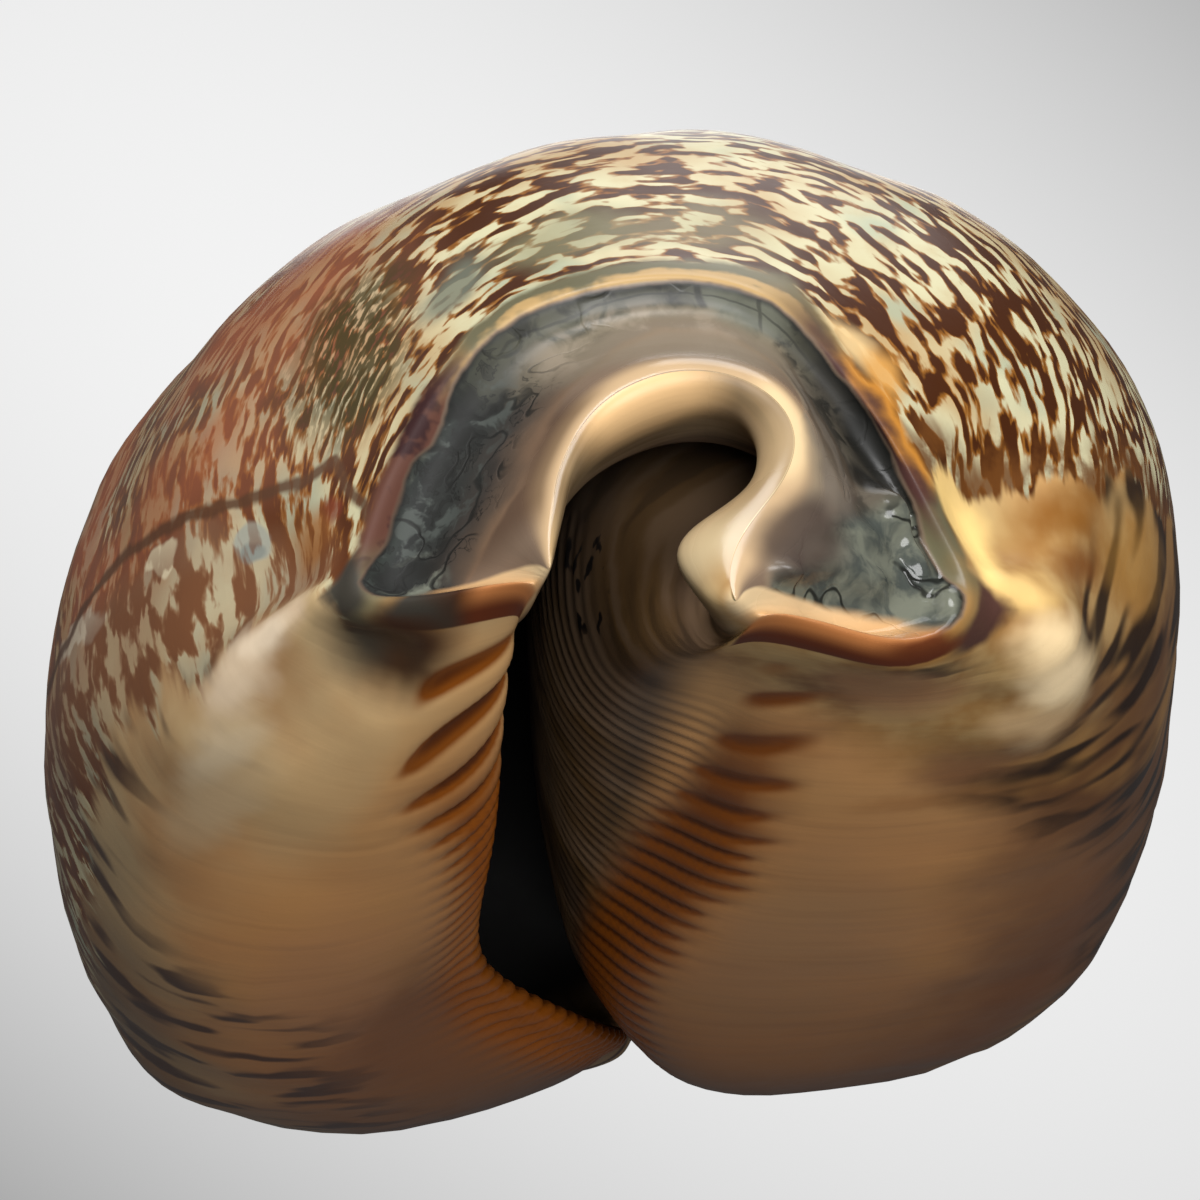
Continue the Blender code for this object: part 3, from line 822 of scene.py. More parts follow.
# ---------------------------------------------------------------- skin
@dataclass
class ShellSkin:
    """The whole surface as one closed mesh, close-set where the teeth and the front end need it."""

    form: ShellForm = field(default_factory=ShellForm)
    relief: FrontRelief = field(default_factory=FrontRelief)
    teeth: LipTeeth = field(default_factory=LipTeeth)
    lip_reach: float = 3.5  # the close-set columns reach this far from each lip edge
    rows: tuple[tuple[float, float, int], ...] = (
        (0.0, 5.0, 130), (5.0, 6.0, 20), (6.0, 13.0, 264), (13.0, 14.0, 14), (14.0, 18.0, 40),
    )
    close_rows: tuple[float, float] = (6.0, 13.0)  # only each coarse_step-th runs all the way round
    coarse_step: int = 4
    back_left: tuple[tuple[float, float], ...] = (
        (4.0, 5.2), (4.7, 5.6), (5.32, 6.0), (5.58, 5.78), (6.05, 5.64), (7.2, 5.70), (7.8, 5.5),
        (9.0, 5.2), (11.0, 5.0), (13.0, 5.1), (14.0, 5.4), (16.0, 6.0), (18.0, 6.0),
    )
    back_right: tuple[tuple[float, float], ...] = (
        (4.0, 13.6), (4.6, 14.06), (5.07, 14.26), (5.35, 14.45), (5.69, 14.62), (7.0, 14.4),
        (8.72, 13.85), (11.0, 14.2), (13.0, 14.4), (16.0, 14.0), (18.0, 14.0),
    )

    def courses(self) -> tuple[Array, Array]:
        """Sets the rows.

        Returns:
            Their places, and which of them run the whole way round.
        """
        places = marks(*self.rows)
        close_set = (places >= self.close_rows[0]) & (places < self.close_rows[1])
        whole = np.ones(len(places), bool)
        whole[close_set] = np.arange(close_set.sum()) % self.coarse_step == 0
        return places, whole

    def rounds(self) -> tuple[Array, Array]:
        """Sets the columns.

        Returns:
            Their places, and which of them run the whole length.
        """
        reach, edge = self.lip_reach, COLUMELLAR_EDGE
        side = marks(
            (0.0, 2.0, 12), (2.0, reach, 7), (reach, edge - reach, 104),
            (edge - reach, edge - 2.0, 7), (edge - 2.0, edge, 12),
        )
        places = np.concatenate([side, AROUND - side[1:-1][::-1]])
        away = np.minimum(np.abs(places - edge), np.minimum(places, AROUND - places))
        return places, away <= reach + 1e-6

    def build(self, finishes: dict[Zone, bpy.types.Material]) -> bpy.types.Object:
        """Makes the piece.

        Args:
            finishes: The enamel that each zone is dressed with.

        Returns:
            The finished object, a plain closed mesh at the origin.
        """
        courses, whole_row = self.courses()
        rounds, whole_column = self.rounds()
        grid = self.form.surface(courses, rounds)
        normals, course_mm = self.normals(grid, courses, rounds)
        course, round_ = np.meshgrid(courses, rounds, indexing="ij")
        flat = (course.ravel(), round_.ravel(), grid.reshape(-1, 3))
        height = self.relief.height(*flat).reshape(course.shape)
        grid = grid + normals * height[..., None]
        grid[0] = 0.5 * (grid[0] + grid[0][self.mirrored(len(rounds))])
        grid[-1] = 0.5 * (grid[-1] + grid[-1][self.mirrored(len(rounds))])

        grid[..., 2] = np.maximum(grid[..., 2], 0.01)
        index, kept = self.number(len(courses), len(rounds), whole_row, whole_column)
        faces, corners = self.faces(index, whole_row, whole_column)
        mesh = bpy.data.meshes.new("shell_skin")
        mesh.from_pydata((grid.reshape(-1, 3)[kept] * MM).tolist(), [], faces)
        edges = self.store(mesh, grid, courses, rounds, course_mm, kept)
        self.zone(mesh, courses, edges, corners)
        self.lay_out(mesh, courses, rounds, grid, corners)
        mesh.polygons.foreach_set("use_smooth", np.ones(len(faces), bool))
        mesh.materials.append(finishes[Zone.FRONT])
        mesh.validate()
        piece = bpy.data.objects.new("shell_skin", mesh)
        bpy.context.scene.collection.objects.link(piece)
        self.teeth.cut(piece, finishes)
        return piece

    @staticmethod
    def mirrored(columns: int) -> Array:
        """The column on the sheet's other side that each column meets at a rim."""
        return (columns - np.arange(columns)) % columns

    @staticmethod
    def normals(grid: Array, courses: Array, rounds: Array) -> tuple[Array, Array]:
        """Outward normals, and how many millimetres one ring is, at each place of a grid.

        Args:
            grid: Every place of the surface, in millimetres.
            courses: The rows' places.
            rounds: The columns' places.

        Returns:
            The normals and the millimetres.
        """
        along = np.gradient(grid, courses, axis=0)
        closed = np.concatenate([grid[:, -1:], grid, grid[:, :1]], axis=1)
        steps = np.concatenate([[rounds[-1] - AROUND], rounds, [float(AROUND)]])
        around = np.gradient(closed, steps, axis=1)[:, 1:-1]
        normal = np.cross(around, along)
        length = np.linalg.norm(normal, axis=2, keepdims=True)
        return normal / np.maximum(length, 1e-9), np.linalg.norm(along, axis=2)

    def number(self, rows: int, columns: int, whole_row: Array, whole_column: Array) -> tuple[Array, Array]:
        """Numbers the vertices that exist, with each rim's two sides sharing theirs.

        Args:
            rows: How many rows the grid has.
            columns: How many columns.
            whole_row: Which rows run the whole way round.
            whole_column: Which columns run the whole length.

        Returns:
            The grid of vertex numbers (-1 for none), and the grid places kept, in order.
        """
        exists = whole_row[:, None] | whole_column[None, :]
        mirror = self.mirrored(columns)
        twin = np.arange(columns) > mirror
        for rim in (0, rows - 1):
            exists[rim, twin] = False
        index = np.full((rows, columns), -1)
        kept = np.flatnonzero(exists.ravel())
        index.ravel()[kept] = np.arange(len(kept))
        for rim in (0, rows - 1):
            index[rim, twin] = index[rim, mirror[twin]]
        return index, kept

    @staticmethod
    def faces(index: Array, whole_row: Array, whole_column: Array) -> tuple[list, list]:
        """The mesh's faces.

        Args:
            index: The grid of vertex numbers.
            whole_row: Which rows run the whole way round.
            whole_column: Which columns run the whole length.

        Returns:
            Each face's vertex numbers, and each face's corners as (row, column), columns unwrapped.
        """
        rows, columns = index.shape
        whole = np.flatnonzero(whole_row)
        faces, corners = [], []
        for j in range(columns):
            k = (j + 1) % columns
            close = whole_column[j] and whole_column[k]
            levels = range(rows) if close else whole
            for low, high in zip(levels[:-1], levels[1:]):
                near = range(low, high + 1) if whole_column[j] else (low, high)
                far = range(low, high + 1) if whole_column[k] else (low, high)
                ring = [(i, j) for i in reversed(near)] + [(i, j + 1) for i in far]
                face = [int(index[i, c % columns]) for i, c in ring]
                if len(set(face)) < 3:
                    continue
                tidy = [n for n in range(len(face)) if face[n] != face[n - 1]]
                faces.append([face[n] for n in tidy])
                corners.append([ring[n] for n in tidy])
        return faces, corners

    def store(
        self, mesh: bpy.types.Mesh, grid: Array, courses: Array, rounds: Array, course_mm: Array, kept: Array
    ) -> tuple[Array, Array, Array]:
        """Stores on the mesh the fields that the teeth and the finish are made by.

        Args:
            mesh: The mesh to store them on.
            grid: Every place of the surface, in millimetres.
            courses: The rows' places.
            rounds: The columns' places.
            course_mm: How many millimetres one ring is, at each place.
            kept: The grid places that are vertices, in their order.

        Returns:
            How far inside the back's left and right edges and behind a lip's edge each grid place
            is, in millimetres.
        """
        steps = np.linalg.norm(np.diff(grid, axis=1, append=grid[:, :1]), axis=2)
        run = np.concatenate([np.zeros((len(courses), 1)), np.cumsum(steps, axis=1)], axis=1)
        edge = np.searchsorted(rounds, COLUMELLAR_EDGE)
        crown = run[:, np.searchsorted(rounds, CROWN)]
        labial_inside = rounds > HOLLOW_TURN
        around = np.where(labial_inside, run[:, :-1] - run[:, -1:], run[:, :-1])
        around_crown = around - crown[:, None]
        labial = around
        columellar = run[:, edge][:, None] - run[:, :-1]
        columellar[:, labial_inside] = -40.0
        labial = np.where((rounds > 20.0) & ~labial_inside, 60.0, labial)
        depth = np.clip(np.where(labial_inside, -around, -columellar), 0.0, None)
        depth[:, rounds <= 20.0] = 0.0

        middle = (rounds > 3.0) & (rounds < 17.0)
        mean_mm = course_mm[:, middle].mean(1)
        along = np.concatenate([[0.0], np.cumsum(0.5 * (mean_mm[1:] + mean_mm[:-1]) * np.diff(courses))])

        course, round_ = np.meshgrid(courses, rounds, indexing="ij")
        crest = (course - self.relief.line(self.relief.crest, round_)) * course_mm
        moat_out = (self.relief.line(self.relief.moat_outer, round_) - course) * course_mm
        moat_in = (course - self.relief.line(self.relief.moat_inner, round_)) * course_mm
        inside = (round_ > 20.0) & (round_ < 40.0)
        moat_out[inside] = -5.0
        left_line, right_line = (np.array(table).T for table in (self.back_left, self.back_right))
        left = np.interp(courses, *left_line)
        right = np.interp(courses, *right_line)
        back_left = np.empty_like(around)
        back_right = np.empty_like(around)
        for row in range(len(courses)):
            back_left[row] = around[row] - np.interp(left[row], rounds, run[row, :-1])
            back_right[row] = np.interp(right[row], rounds, run[row, :-1]) - around[row]
        signed_round = np.where(round_ > HOLLOW_TURN, round_ - AROUND, round_)

        flat = grid.reshape(-1, 3)[kept]
        counts, weights = self.teeth.counts(
            course.ravel()[kept], signed_round.ravel()[kept], flat
        )
        fields = {
            "flow": (around_crown, np.broadcast_to(along[:, None], around.shape), depth),
            "place": (course, signed_round, depth),
            "front_zone": (moat_out, moat_in, crest),
            "back_zone": (back_left, back_right, depth),
            "lip_zone": (labial, columellar, round_),
            "beak_zone": self.relief.beaks(course, signed_round),
        }
        for name, parts in fields.items():
            packed = np.stack([np.asarray(part, float).ravel()[kept] for part in parts], 1)
            self.attach(mesh, name, packed)
        self.attach(mesh, "tooth_count", counts)
        self.attach(mesh, "tooth_weight", weights)
        return fields["back_zone"]

    @staticmethod
    def zone(mesh: bpy.types.Mesh, courses: Array, edges: tuple[Array, Array, Array], corners: list) -> None:
        """Stores each face's zone.

        Args:
            mesh: The mesh.
            courses: The rows' places.
            edges: How far inside the back's edges and behind a lip's edge each grid place is.
            corners: Each face's corners as (row, column), columns unwrapped.
        """
        left, right, depth = edges
        row, column = np.array([corner for ring in corners for corner in ring]).T
        column = column % depth.shape[1]
        starts = np.cumsum([0] + [len(ring) for ring in corners[:-1]])

        def least(values: Array) -> Array:
            """The smallest of each face's corners."""
            return np.minimum.reduceat(values, starts)

        body = least(courses[row]) >= BODY_COURSE
        back = np.minimum(least(left[row, column]), least(right[row, column])) >= BACK_INSET
        far_left = least(-left[row, column]) >= BASE_OUTSET[0]
        far_right = least(-right[row, column]) >= BASE_OUTSET[1]
        zones = np.where(body, ZONES.index(Zone.MARGIN), ZONES.index(Zone.FRONT))
        zones[body & back] = ZONES.index(Zone.BACK)
        zones[body & (far_left | far_right)] = ZONES.index(Zone.BASE)
        zones[least(depth[row, column]) >= HOLLOW_DEPTH] = ZONES.index(Zone.HOLLOW)
        layer = mesh.attributes.new("zone", "INT", "FACE")
        layer.data.foreach_set("value", zones.astype(np.int32))

    @staticmethod
    def attach(mesh: bpy.types.Mesh, name: str, values: Array) -> None:
        """Stores three numbers on each vertex under a name."""
        layer = mesh.attributes.new(name, "FLOAT_VECTOR", "POINT")
        layer.data.foreach_set("vector", np.ascontiguousarray(values, np.float32).ravel())

    @staticmethod
    def lay_out(mesh: bpy.types.Mesh, courses: Array, rounds: Array, grid: Array, corners: list) -> None:
        """Unrolls the sheet into a map of one rectangle, each row and column as wide as it is long.

        Args:
            mesh: The mesh.
            courses: The rows' places.
            rounds: The columns' places.
            grid: Every place of the surface, in millimetres.
            corners: Each face's corners as (row, column), columns unwrapped.
        """
        row_mm = np.linalg.norm(np.diff(grid, axis=0), axis=2)[:, : len(rounds) // 2]
        column_mm = np.linalg.norm(np.diff(grid, axis=1, append=grid[:, :1]), axis=2)
        closed = np.append(rounds, float(AROUND))
        middle = 0.5 * (closed[1:] + closed[:-1])
        hidden = (middle > 23.6) & (middle < 37.5)
        tall = row_mm.mean(1) * np.where(courses[:-1] < 6.0, 1.8, 1.0)
        wide = column_mm.mean(0) * np.where(hidden, 0.25, 1.0)
        up = np.concatenate([[0.0], np.cumsum(tall)])
        across = np.concatenate([[0.0], np.cumsum(wide)])
        up, across = 0.01 + 0.98 * up / up[-1], 0.01 + 0.98 * across / across[-1]
        layer = mesh.uv_layers.new(name="OFBake")
        places = np.array([(across[c], up[i]) for ring in corners for i, c in ring], np.float32)
        layer.data.foreach_set("uv", places.ravel())


# ---------------------------------------------------------------- finish
Socket = bpy.types.NodeSocket
Value = Socket | float
DRIFT = 0.27  # how many rings the edges of the patches wander


@dataclass(frozen=True)
class Tint:
    """A soft patch of one colour at a place of the surface."""

    course: float
    round_: float
    tall: float
    wide: float
    strength: float
    colour: Colour
    soft: float = 0.7


class Painter:
    """Makes a material's nodes. Each call adds a step and returns its result."""

    def __init__(self, tree: bpy.types.NodeTree) -> None:
        """Starts with an empty node tree.

        Args:
            tree: The tree that the nodes go in.
        """
        self.nodes, self.links = tree.nodes, tree.links
        self.nodes.clear()
        self.material: bpy.types.Material | None = None
        self.place_vector: Socket | None = None  # ring and place round, which the patches lie on
        self.course: Socket | None = None  # the ring alone
        self.reach = (0.0, 18.0)  # the rings that the material covers

    @classmethod
    def of(cls, name: str) -> "Painter":
        """A painter of a new material.

        Args:
            name: The material's name.

        Returns:
            The painter, its material empty.
        """
        material = bpy.data.materials.new(name)
        material.use_nodes = True
        painter = cls(material.node_tree)
        painter.material = material
        return painter

    def add(self, kind: str, inputs: dict | None = None, **settings: object) -> bpy.types.Node:
        """Adds a node.

        Args:
            kind: The node's type.
            inputs: What its inputs get: results, numbers, vectors or colours.
            **settings: Its other settings.

        Returns:
            The node.
        """
        node = self.nodes.new(kind)
        for name, value in settings.items():
            setattr(node, name, value)
        for slot, value in (inputs or {}).items():
            self.feed(node.inputs[slot], value)
        return node

    def feed(self, slot: Socket, value: object) -> None:
        """Links a result to an input, or sets the input.

        Args:
            slot: The input.
            value: A result, a number, a vector or a colour.
        """
        if isinstance(value, Socket):
            self.links.new(value, slot)
        elif isinstance(value, tuple) and slot.type == "RGBA" and len(value) == 3:
            slot.default_value = (*value, 1.0)
        else:
            slot.default_value = value

    def stored(self, name: str) -> Socket:
        """Three numbers stored on the mesh, as a vector."""
        return self.add("ShaderNodeAttribute", attribute_name=name).outputs["Vector"]

    def parts(self, vector: Socket) -> tuple[Socket, Socket, Socket]:
        """A vector's three numbers."""
        return tuple(self.add("ShaderNodeSeparateXYZ", {0: vector}).outputs)

    def math(self, kind: str, *values: Value, clamp: bool = False) -> Socket:
        """One step of arithmetic."""
        return self.add("ShaderNodeMath", dict(enumerate(values)), operation=kind, use_clamp=clamp).outputs[0]

    def dot(self, vector: Socket, axis: Point) -> Socket:
        """How far a vector reaches along an axis."""
        inputs = {0: vector, 1: axis}
        return self.add("ShaderNodeVectorMath", inputs, operation="DOT_PRODUCT").outputs["Value"]

    def ramp(self, value: Socket, *stops: tuple[float, Colour]) -> Socket:
        """A colour between several.

        Args:
            value: A number from 0 to 1.
            *stops: The colours, each with its own number.

        Returns:
            The colour at the number.
        """
        node = self.add("ShaderNodeValToRGB", {0: value})
        marks_ = node.color_ramp.elements
        while len(marks_) < len(stops):
            marks_.new(0.5)
        for mark, (place, colour) in zip(marks_, stops):
            mark.position = place
            mark.color = (*colour, 1.0)
        return node.outputs[0]

    def line(self, value: Socket, middle: float, half: float) -> Socket:
        """A thin soft line where a number is near its middle."""
        away = self.math("ABSOLUTE", self.math("SUBTRACT", value, middle))
        return self.step(away, half, 0.25 * half)

    def times(self, *values: Value) -> Value:
        """The product of numbers.

        Args:
            *values: The numbers. A plain 0 makes the others needless, and a plain 1 is left out.

        Returns:
            Their product.
        """
        if any(isinstance(value, float) and value == 0.0 for value in values):
            return 0.0
        total, *rest = [value for value in values if value != 1.0]
        for value in rest:
            total = self.math("MULTIPLY", total, value)
        return total

    def opposite(self, value: Value) -> Value:
        """1 less a number."""
        return 1.0 - value if isinstance(value, float) else self.math("SUBTRACT", 1.0, value, clamp=True)

    def either(self, *values: Value) -> Value:
        """The largest of some numbers.

        Args:
            *values: The numbers, none of them below 0. A plain 0 is left out.

        Returns:
            The largest.
        """
        total, *rest = [value for value in values if value != 0.0] or [0.0]
        for value in rest:
            total = self.math("MAXIMUM", total, value)
        return total

    def step(self, value: Socket, low: float, high: float, top: float = 1.0) -> Value:
        """A smooth step.

        Args:
            value: The number that it depends on.
            low: Where it is 0. It may lie above high, for a falling step.
            high: Where it is top.
            top: How high it rises.

        Returns:
            The step, a plain number where the material doesn't reach its slope.
        """
        turned = low > high
        if value is self.course and self.reach[1] <= min(low, high):
            return top if turned else 0.0
        if value is self.course and self.reach[0] >= max(low, high):
            return 0.0 if turned else top
        ends = (high, low, top, 0.0) if turned else (low, high, 0.0, top)
        inputs = {"Value": value, **dict(zip(("From Min", "From Max", "To Min", "To Max"), ends))}
        return self.add("ShaderNodeMapRange", inputs, interpolation_type="SMOOTHSTEP").outputs["Result"]

    def mapped(self, vector: Socket, scale: Point, offset: Point = (0.0, 0.0, 0.0)) -> Socket:
        """A vector scaled, then moved."""
        inputs = {"Vector": vector, "Scale": scale, "Location": offset}
        return self.add("ShaderNodeMapping", inputs).outputs[0]

    def cloudy(self, vector: Socket, size: float, detail: float, rough: float = 0.5) -> bpy.types.Node:
        """A noise node, its bumps about as far apart as size."""
        inputs = {"Vector": vector, "Scale": 1.0 / size, "Detail": detail, "Roughness": rough}
        return self.add("ShaderNodeTexNoise", inputs, noise_dimensions="3D")

    def noise(self, vector: Socket, size: float = 1.0, detail: float = 2.0, rough: float = 0.5) -> Socket:
        """Seeded noise round 0.5."""
        return self.cloudy(vector, size, detail, rough).outputs["Fac"]

    def noises(self, vector: Socket, size: float, detail: float) -> Socket:
        """Three separate noises as a vector."""
        apart = self.add("ShaderNodeSeparateColor", {0: self.cloudy(vector, size, detail).outputs["Color"]})
        return self.add("ShaderNodeCombineXYZ", dict(enumerate(apart.outputs))).outputs[0]

    def warped(self, vector: Socket, size: float, amount: Point, detail: float = 2.0) -> Socket:
        """A vector pushed about by noise, by up to half an amount on each axis."""
        return self.pushed(vector, self.noises(vector, size, detail), amount)

    def pushed(self, vector: Socket, field_: Socket, amount: Point) -> Socket:
        """Moves a vector by a field of noise.

        Args:
            vector: The vector.
            field_: The noise, round 0.5 on each axis.
            amount: Twice how far it can move, on each axis.

        Returns:
            The moved vector.
        """
        back = tuple(-0.5 * number for number in amount)
        push = self.add("ShaderNodeVectorMath", {0: field_, 1: amount, 2: back}, operation="MULTIPLY_ADD")
        return self.add("ShaderNodeVectorMath", {0: vector, 1: push.outputs[0]}, operation="ADD").outputs[0]

    def mix(self, share: Value, under: Socket | Colour, over: Socket | Colour) -> Socket | Colour:
        """Lays one colour over another.

        Args:
            share: How much the upper one covers, from 0 to 1.
            under: The lower colour.
            over: The upper colour.

        Returns:
            The colour seen, which is the lower one itself where the share is a plain 0.
        """
        if isinstance(share, float) and share == 0.0:
            return under
        inputs = {0: share, 6: under, 7: over}
        return self.add("ShaderNodeMix", inputs, data_type="RGBA", clamp_factor=True).outputs[2]

    def blend(self, share: Value, low: Value, high: Value) -> Socket:
        """One number turned into another."""
        inputs = {0: share, 2: low, 3: high}
        return self.add("ShaderNodeMix", inputs, data_type="FLOAT", clamp_factor=True).outputs[0]

    def spot(self, course: float, round_: float, tall: float, wide: float, soft: float = 0.6) -> Value:
        """A soft oval patch at a place of the surface: 1 inside, 0 outside.

        Args:
            course: The patch's middle, in rings from the front rim.
            round_: Its middle round the outline.
            tall: How far it reaches along the shell, in rings.
            wide: How far it reaches round the outline.
            soft: How much of its reach is the fading edge.

        Returns:
            The patch's strength, a plain 0 where the material doesn't reach the patch.
        """
        if course + tall + DRIFT < self.reach[0] or course - tall - DRIFT > self.reach[1]:
            return 0.0
        scale, offset = (1.0 / tall, 1.0 / wide, 0.0), (-course / tall, -round_ / wide, 0.0)
        inputs = {0: self.place_vector, 1: scale, 2: offset}
        away = self.add("ShaderNodeVectorMath", inputs, operation="MULTIPLY_ADD").outputs[0]
        length = self.add("ShaderNodeVectorMath", {0: away}, operation="LENGTH").outputs["Value"]
        return self.step(length, 1.0, 1.0 - soft)

    def tinted(self, under: Socket | Colour, *tints: Tint) -> Socket | Colour:
        """Lays soft patches over a colour.

        Args:
            under: The colour.
            *tints: The patches, the lowest first.

        Returns:
            The colour with its patches.
        """
        for tint in tints:
            patch = self.spot(tint.course, tint.round_, tint.tall, tint.wide, tint.soft)
            under = self.mix(self.times(patch, tint.strength), under, tint.colour)
        return under


@dataclass(frozen=True)
class BaseFinish:
    """The smooth callus of the base, tan, paler in front and red-brown behind."""

    cream: Colour = (0.54, 0.31, 0.125)
    tan: Colour = (0.43, 0.205, 0.068)
    brown: Colour = (0.16, 0.062, 0.022)
    dark: Colour = (0.045, 0.011, 0.004)
    rose: Colour = (0.43, 0.195, 0.070)
    tints: tuple[Tint, ...] = (
        Tint(6.3, 17.9, 1.0, 1.5, 0.5, (0.55, 0.26, 0.09)),
        Tint(7.25, 17.3, 0.22, 1.1, 0.35, (0.24, 0.085, 0.015)),
        Tint(8.4, 16.4, 1.7, 1.1, 0.75, (0.15, 0.060, 0.022)),
        Tint(10.6, 16.2, 2.4, 1.3, 0.9, (0.060, 0.012, 0.004)),
        Tint(10.0, 1.9, 1.7, 1.5, 0.75, (0.12, 0.030, 0.007)),
        Tint(12.2, 18.2, 1.3, 1.8, 0.7, (0.080, 0.020, 0.008)),
        Tint(9.0, 18.0, 1.6, 0.9, 0.35, (0.26, 0.17, 0.10)),
        Tint(6.6, 3.2, 1.2, 0.8, 0.5, (0.48, 0.34, 0.17)),
        Tint(8.8, 2.6, 1.4, 0.7, 0.4, (0.42, 0.19, 0.085)),
    )


@dataclass(frozen=True)
class MarginFinish:
    """The margins: cream and buff, with blurred purple-brown spots that run round the shell."""

    cream: Colour = (0.40, 0.29, 0.15)
    buff: Colour = (0.28, 0.165, 0.075)
    gold: Colour = (0.26, 0.130, 0.034)
    glow: Colour = (0.42, 0.29, 0.125)
    brown: Colour = (0.10, 0.038, 0.010)
    left_spot: Colour = (0.034, 0.012, 0.008)
    right_spot: Colour = (0.010, 0.003, 0.001)
    tints: tuple[Tint, ...] = (
        Tint(6.9, 3.85, 0.60, 0.45, 0.6, (0.45, 0.33, 0.19)),
        Tint(5.15, 14.6, 0.60, 0.75, 0.8, (0.46, 0.32, 0.14), 0.8),
        Tint(4.85, 14.9, 0.45, 1.10, 0.95, (0.80, 0.56, 0.21), 0.6),
        Tint(5.20, 15.65, 0.50, 0.42, 0.9, (0.70, 0.47, 0.18), 0.8),
        # these two: cream on the knob at the front of the right margin, partly the callus's own cream, partly
        # a painted highlight
        Tint(5.60, 16.10, 0.60, 0.42, 0.95, (0.85, 0.64, 0.36), 0.8),
        Tint(6.10, 16.38, 0.60, 0.38, 0.95, (0.85, 0.66, 0.40), 0.8),
        Tint(6.5, 16.7, 0.40, 0.40, 0.8, (0.62, 0.42, 0.22), 0.9),
        Tint(5.75, 14.95, 0.50, 0.34, 0.75, (0.17, 0.060, 0.006), 0.9),
        Tint(5.90, 15.40, 0.45, 0.28, 0.8, (0.15, 0.045, 0.006), 0.9),
        Tint(6.5, 15.2, 0.50, 0.45, 0.5, (0.30, 0.15, 0.030)),
        Tint(5.6, 17.6, 0.70, 0.95, 0.85, (0.36, 0.175, 0.075), 0.7),
        Tint(6.85, 17.2, 0.40, 0.60, 0.8, (0.22, 0.095, 0.038), 0.9),
    )
    ridge: tuple[Tint, ...] = (
        # the first five: a narrow pale band along the fold of the left margin's callus, partly its own cream,
        # partly a painted highlight
        Tint(5.40, 4.60, 0.45, 0.26, 0.9, (0.44, 0.33, 0.22), 0.8),
        Tint(5.80, 4.52, 0.45, 0.26, 0.95, (0.62, 0.50, 0.36), 0.8),
        Tint(6.20, 4.36, 0.45, 0.26, 0.9, (0.54, 0.42, 0.29), 0.8),
        Tint(6.65, 4.10, 0.50, 0.30, 0.9, (0.50, 0.39, 0.25), 0.9),
        Tint(7.10, 3.85, 0.60, 0.40, 0.6, (0.42, 0.30, 0.17), 0.9),
        Tint(4.72, 12.75, 0.30, 0.55, 0.85, (0.60, 0.42, 0.20), 0.8),
        Tint(4.78, 13.25, 0.30, 0.50, 0.85, (0.50, 0.25, 0.06), 0.8),
    )


@dataclass(frozen=True)
class BackFinish:
    """The back: pale ground under a close script of red-brown strokes with golden edges."""

    pale: Colour = (0.46, 0.43, 0.27)
    beige: Colour = (0.36, 0.25, 0.12)
    blue: Colour = (0.28, 0.31, 0.22)
    golden: Colour = (0.20, 0.075, 0.010)
    stroke: Colour = (0.042, 0.011, 0.002)
    rust: Colour = (0.115, 0.030, 0.005)
    olive: Colour = (0.034, 0.026, 0.005)
    haze: Colour = (0.27, 0.072, 0.028)
    band: Colour = (0.50, 0.27, 0.085)
    line: Colour = (0.070, 0.030, 0.014)
    dusk: Colour = (0.18, 0.11, 0.075)
    drip: Colour = (0.10, 0.034, 0.006)
    tints: tuple[Tint, ...] = (
        Tint(5.25, 8.4, 0.28, 0.65, 0.85, (0.105, 0.115, 0.085)),
        Tint(5.2, 9.6, 0.35, 1.0, 0.6, (0.16, 0.155, 0.085)),
        Tint(5.2, 10.9, 0.35, 1.2, 0.4, (0.22, 0.20, 0.11)),
        Tint(5.3, 5.0, 0.80, 0.60, 0.85, (0.20, 0.10, 0.05)),
        Tint(6.9, 5.0, 1.9, 0.75, 0.55, (0.26, 0.19, 0.12), 0.5),
        Tint(6.02, 5.40, 0.17, 0.24, 0.95, (0.27, 0.27, 0.22), 0.3),
        Tint(6.04, 5.30, 0.11, 0.13, 0.7, (0.15, 0.165, 0.15), 0.4),
        Tint(6.75, 5.58, 0.14, 0.10, 0.9, (0.50, 0.42, 0.28), 0.3),
        Tint(7.6, 5.50, 0.45, 0.10, 0.8, (0.45, 0.38, 0.28), 0.4),
        Tint(5.35, 5.35, 0.45, 0.42, 0.8, (0.26, 0.10, 0.022)),
        Tint(5.15, 5.62, 0.25, 0.22, 0.8, (0.13, 0.020, 0.010)),
    )


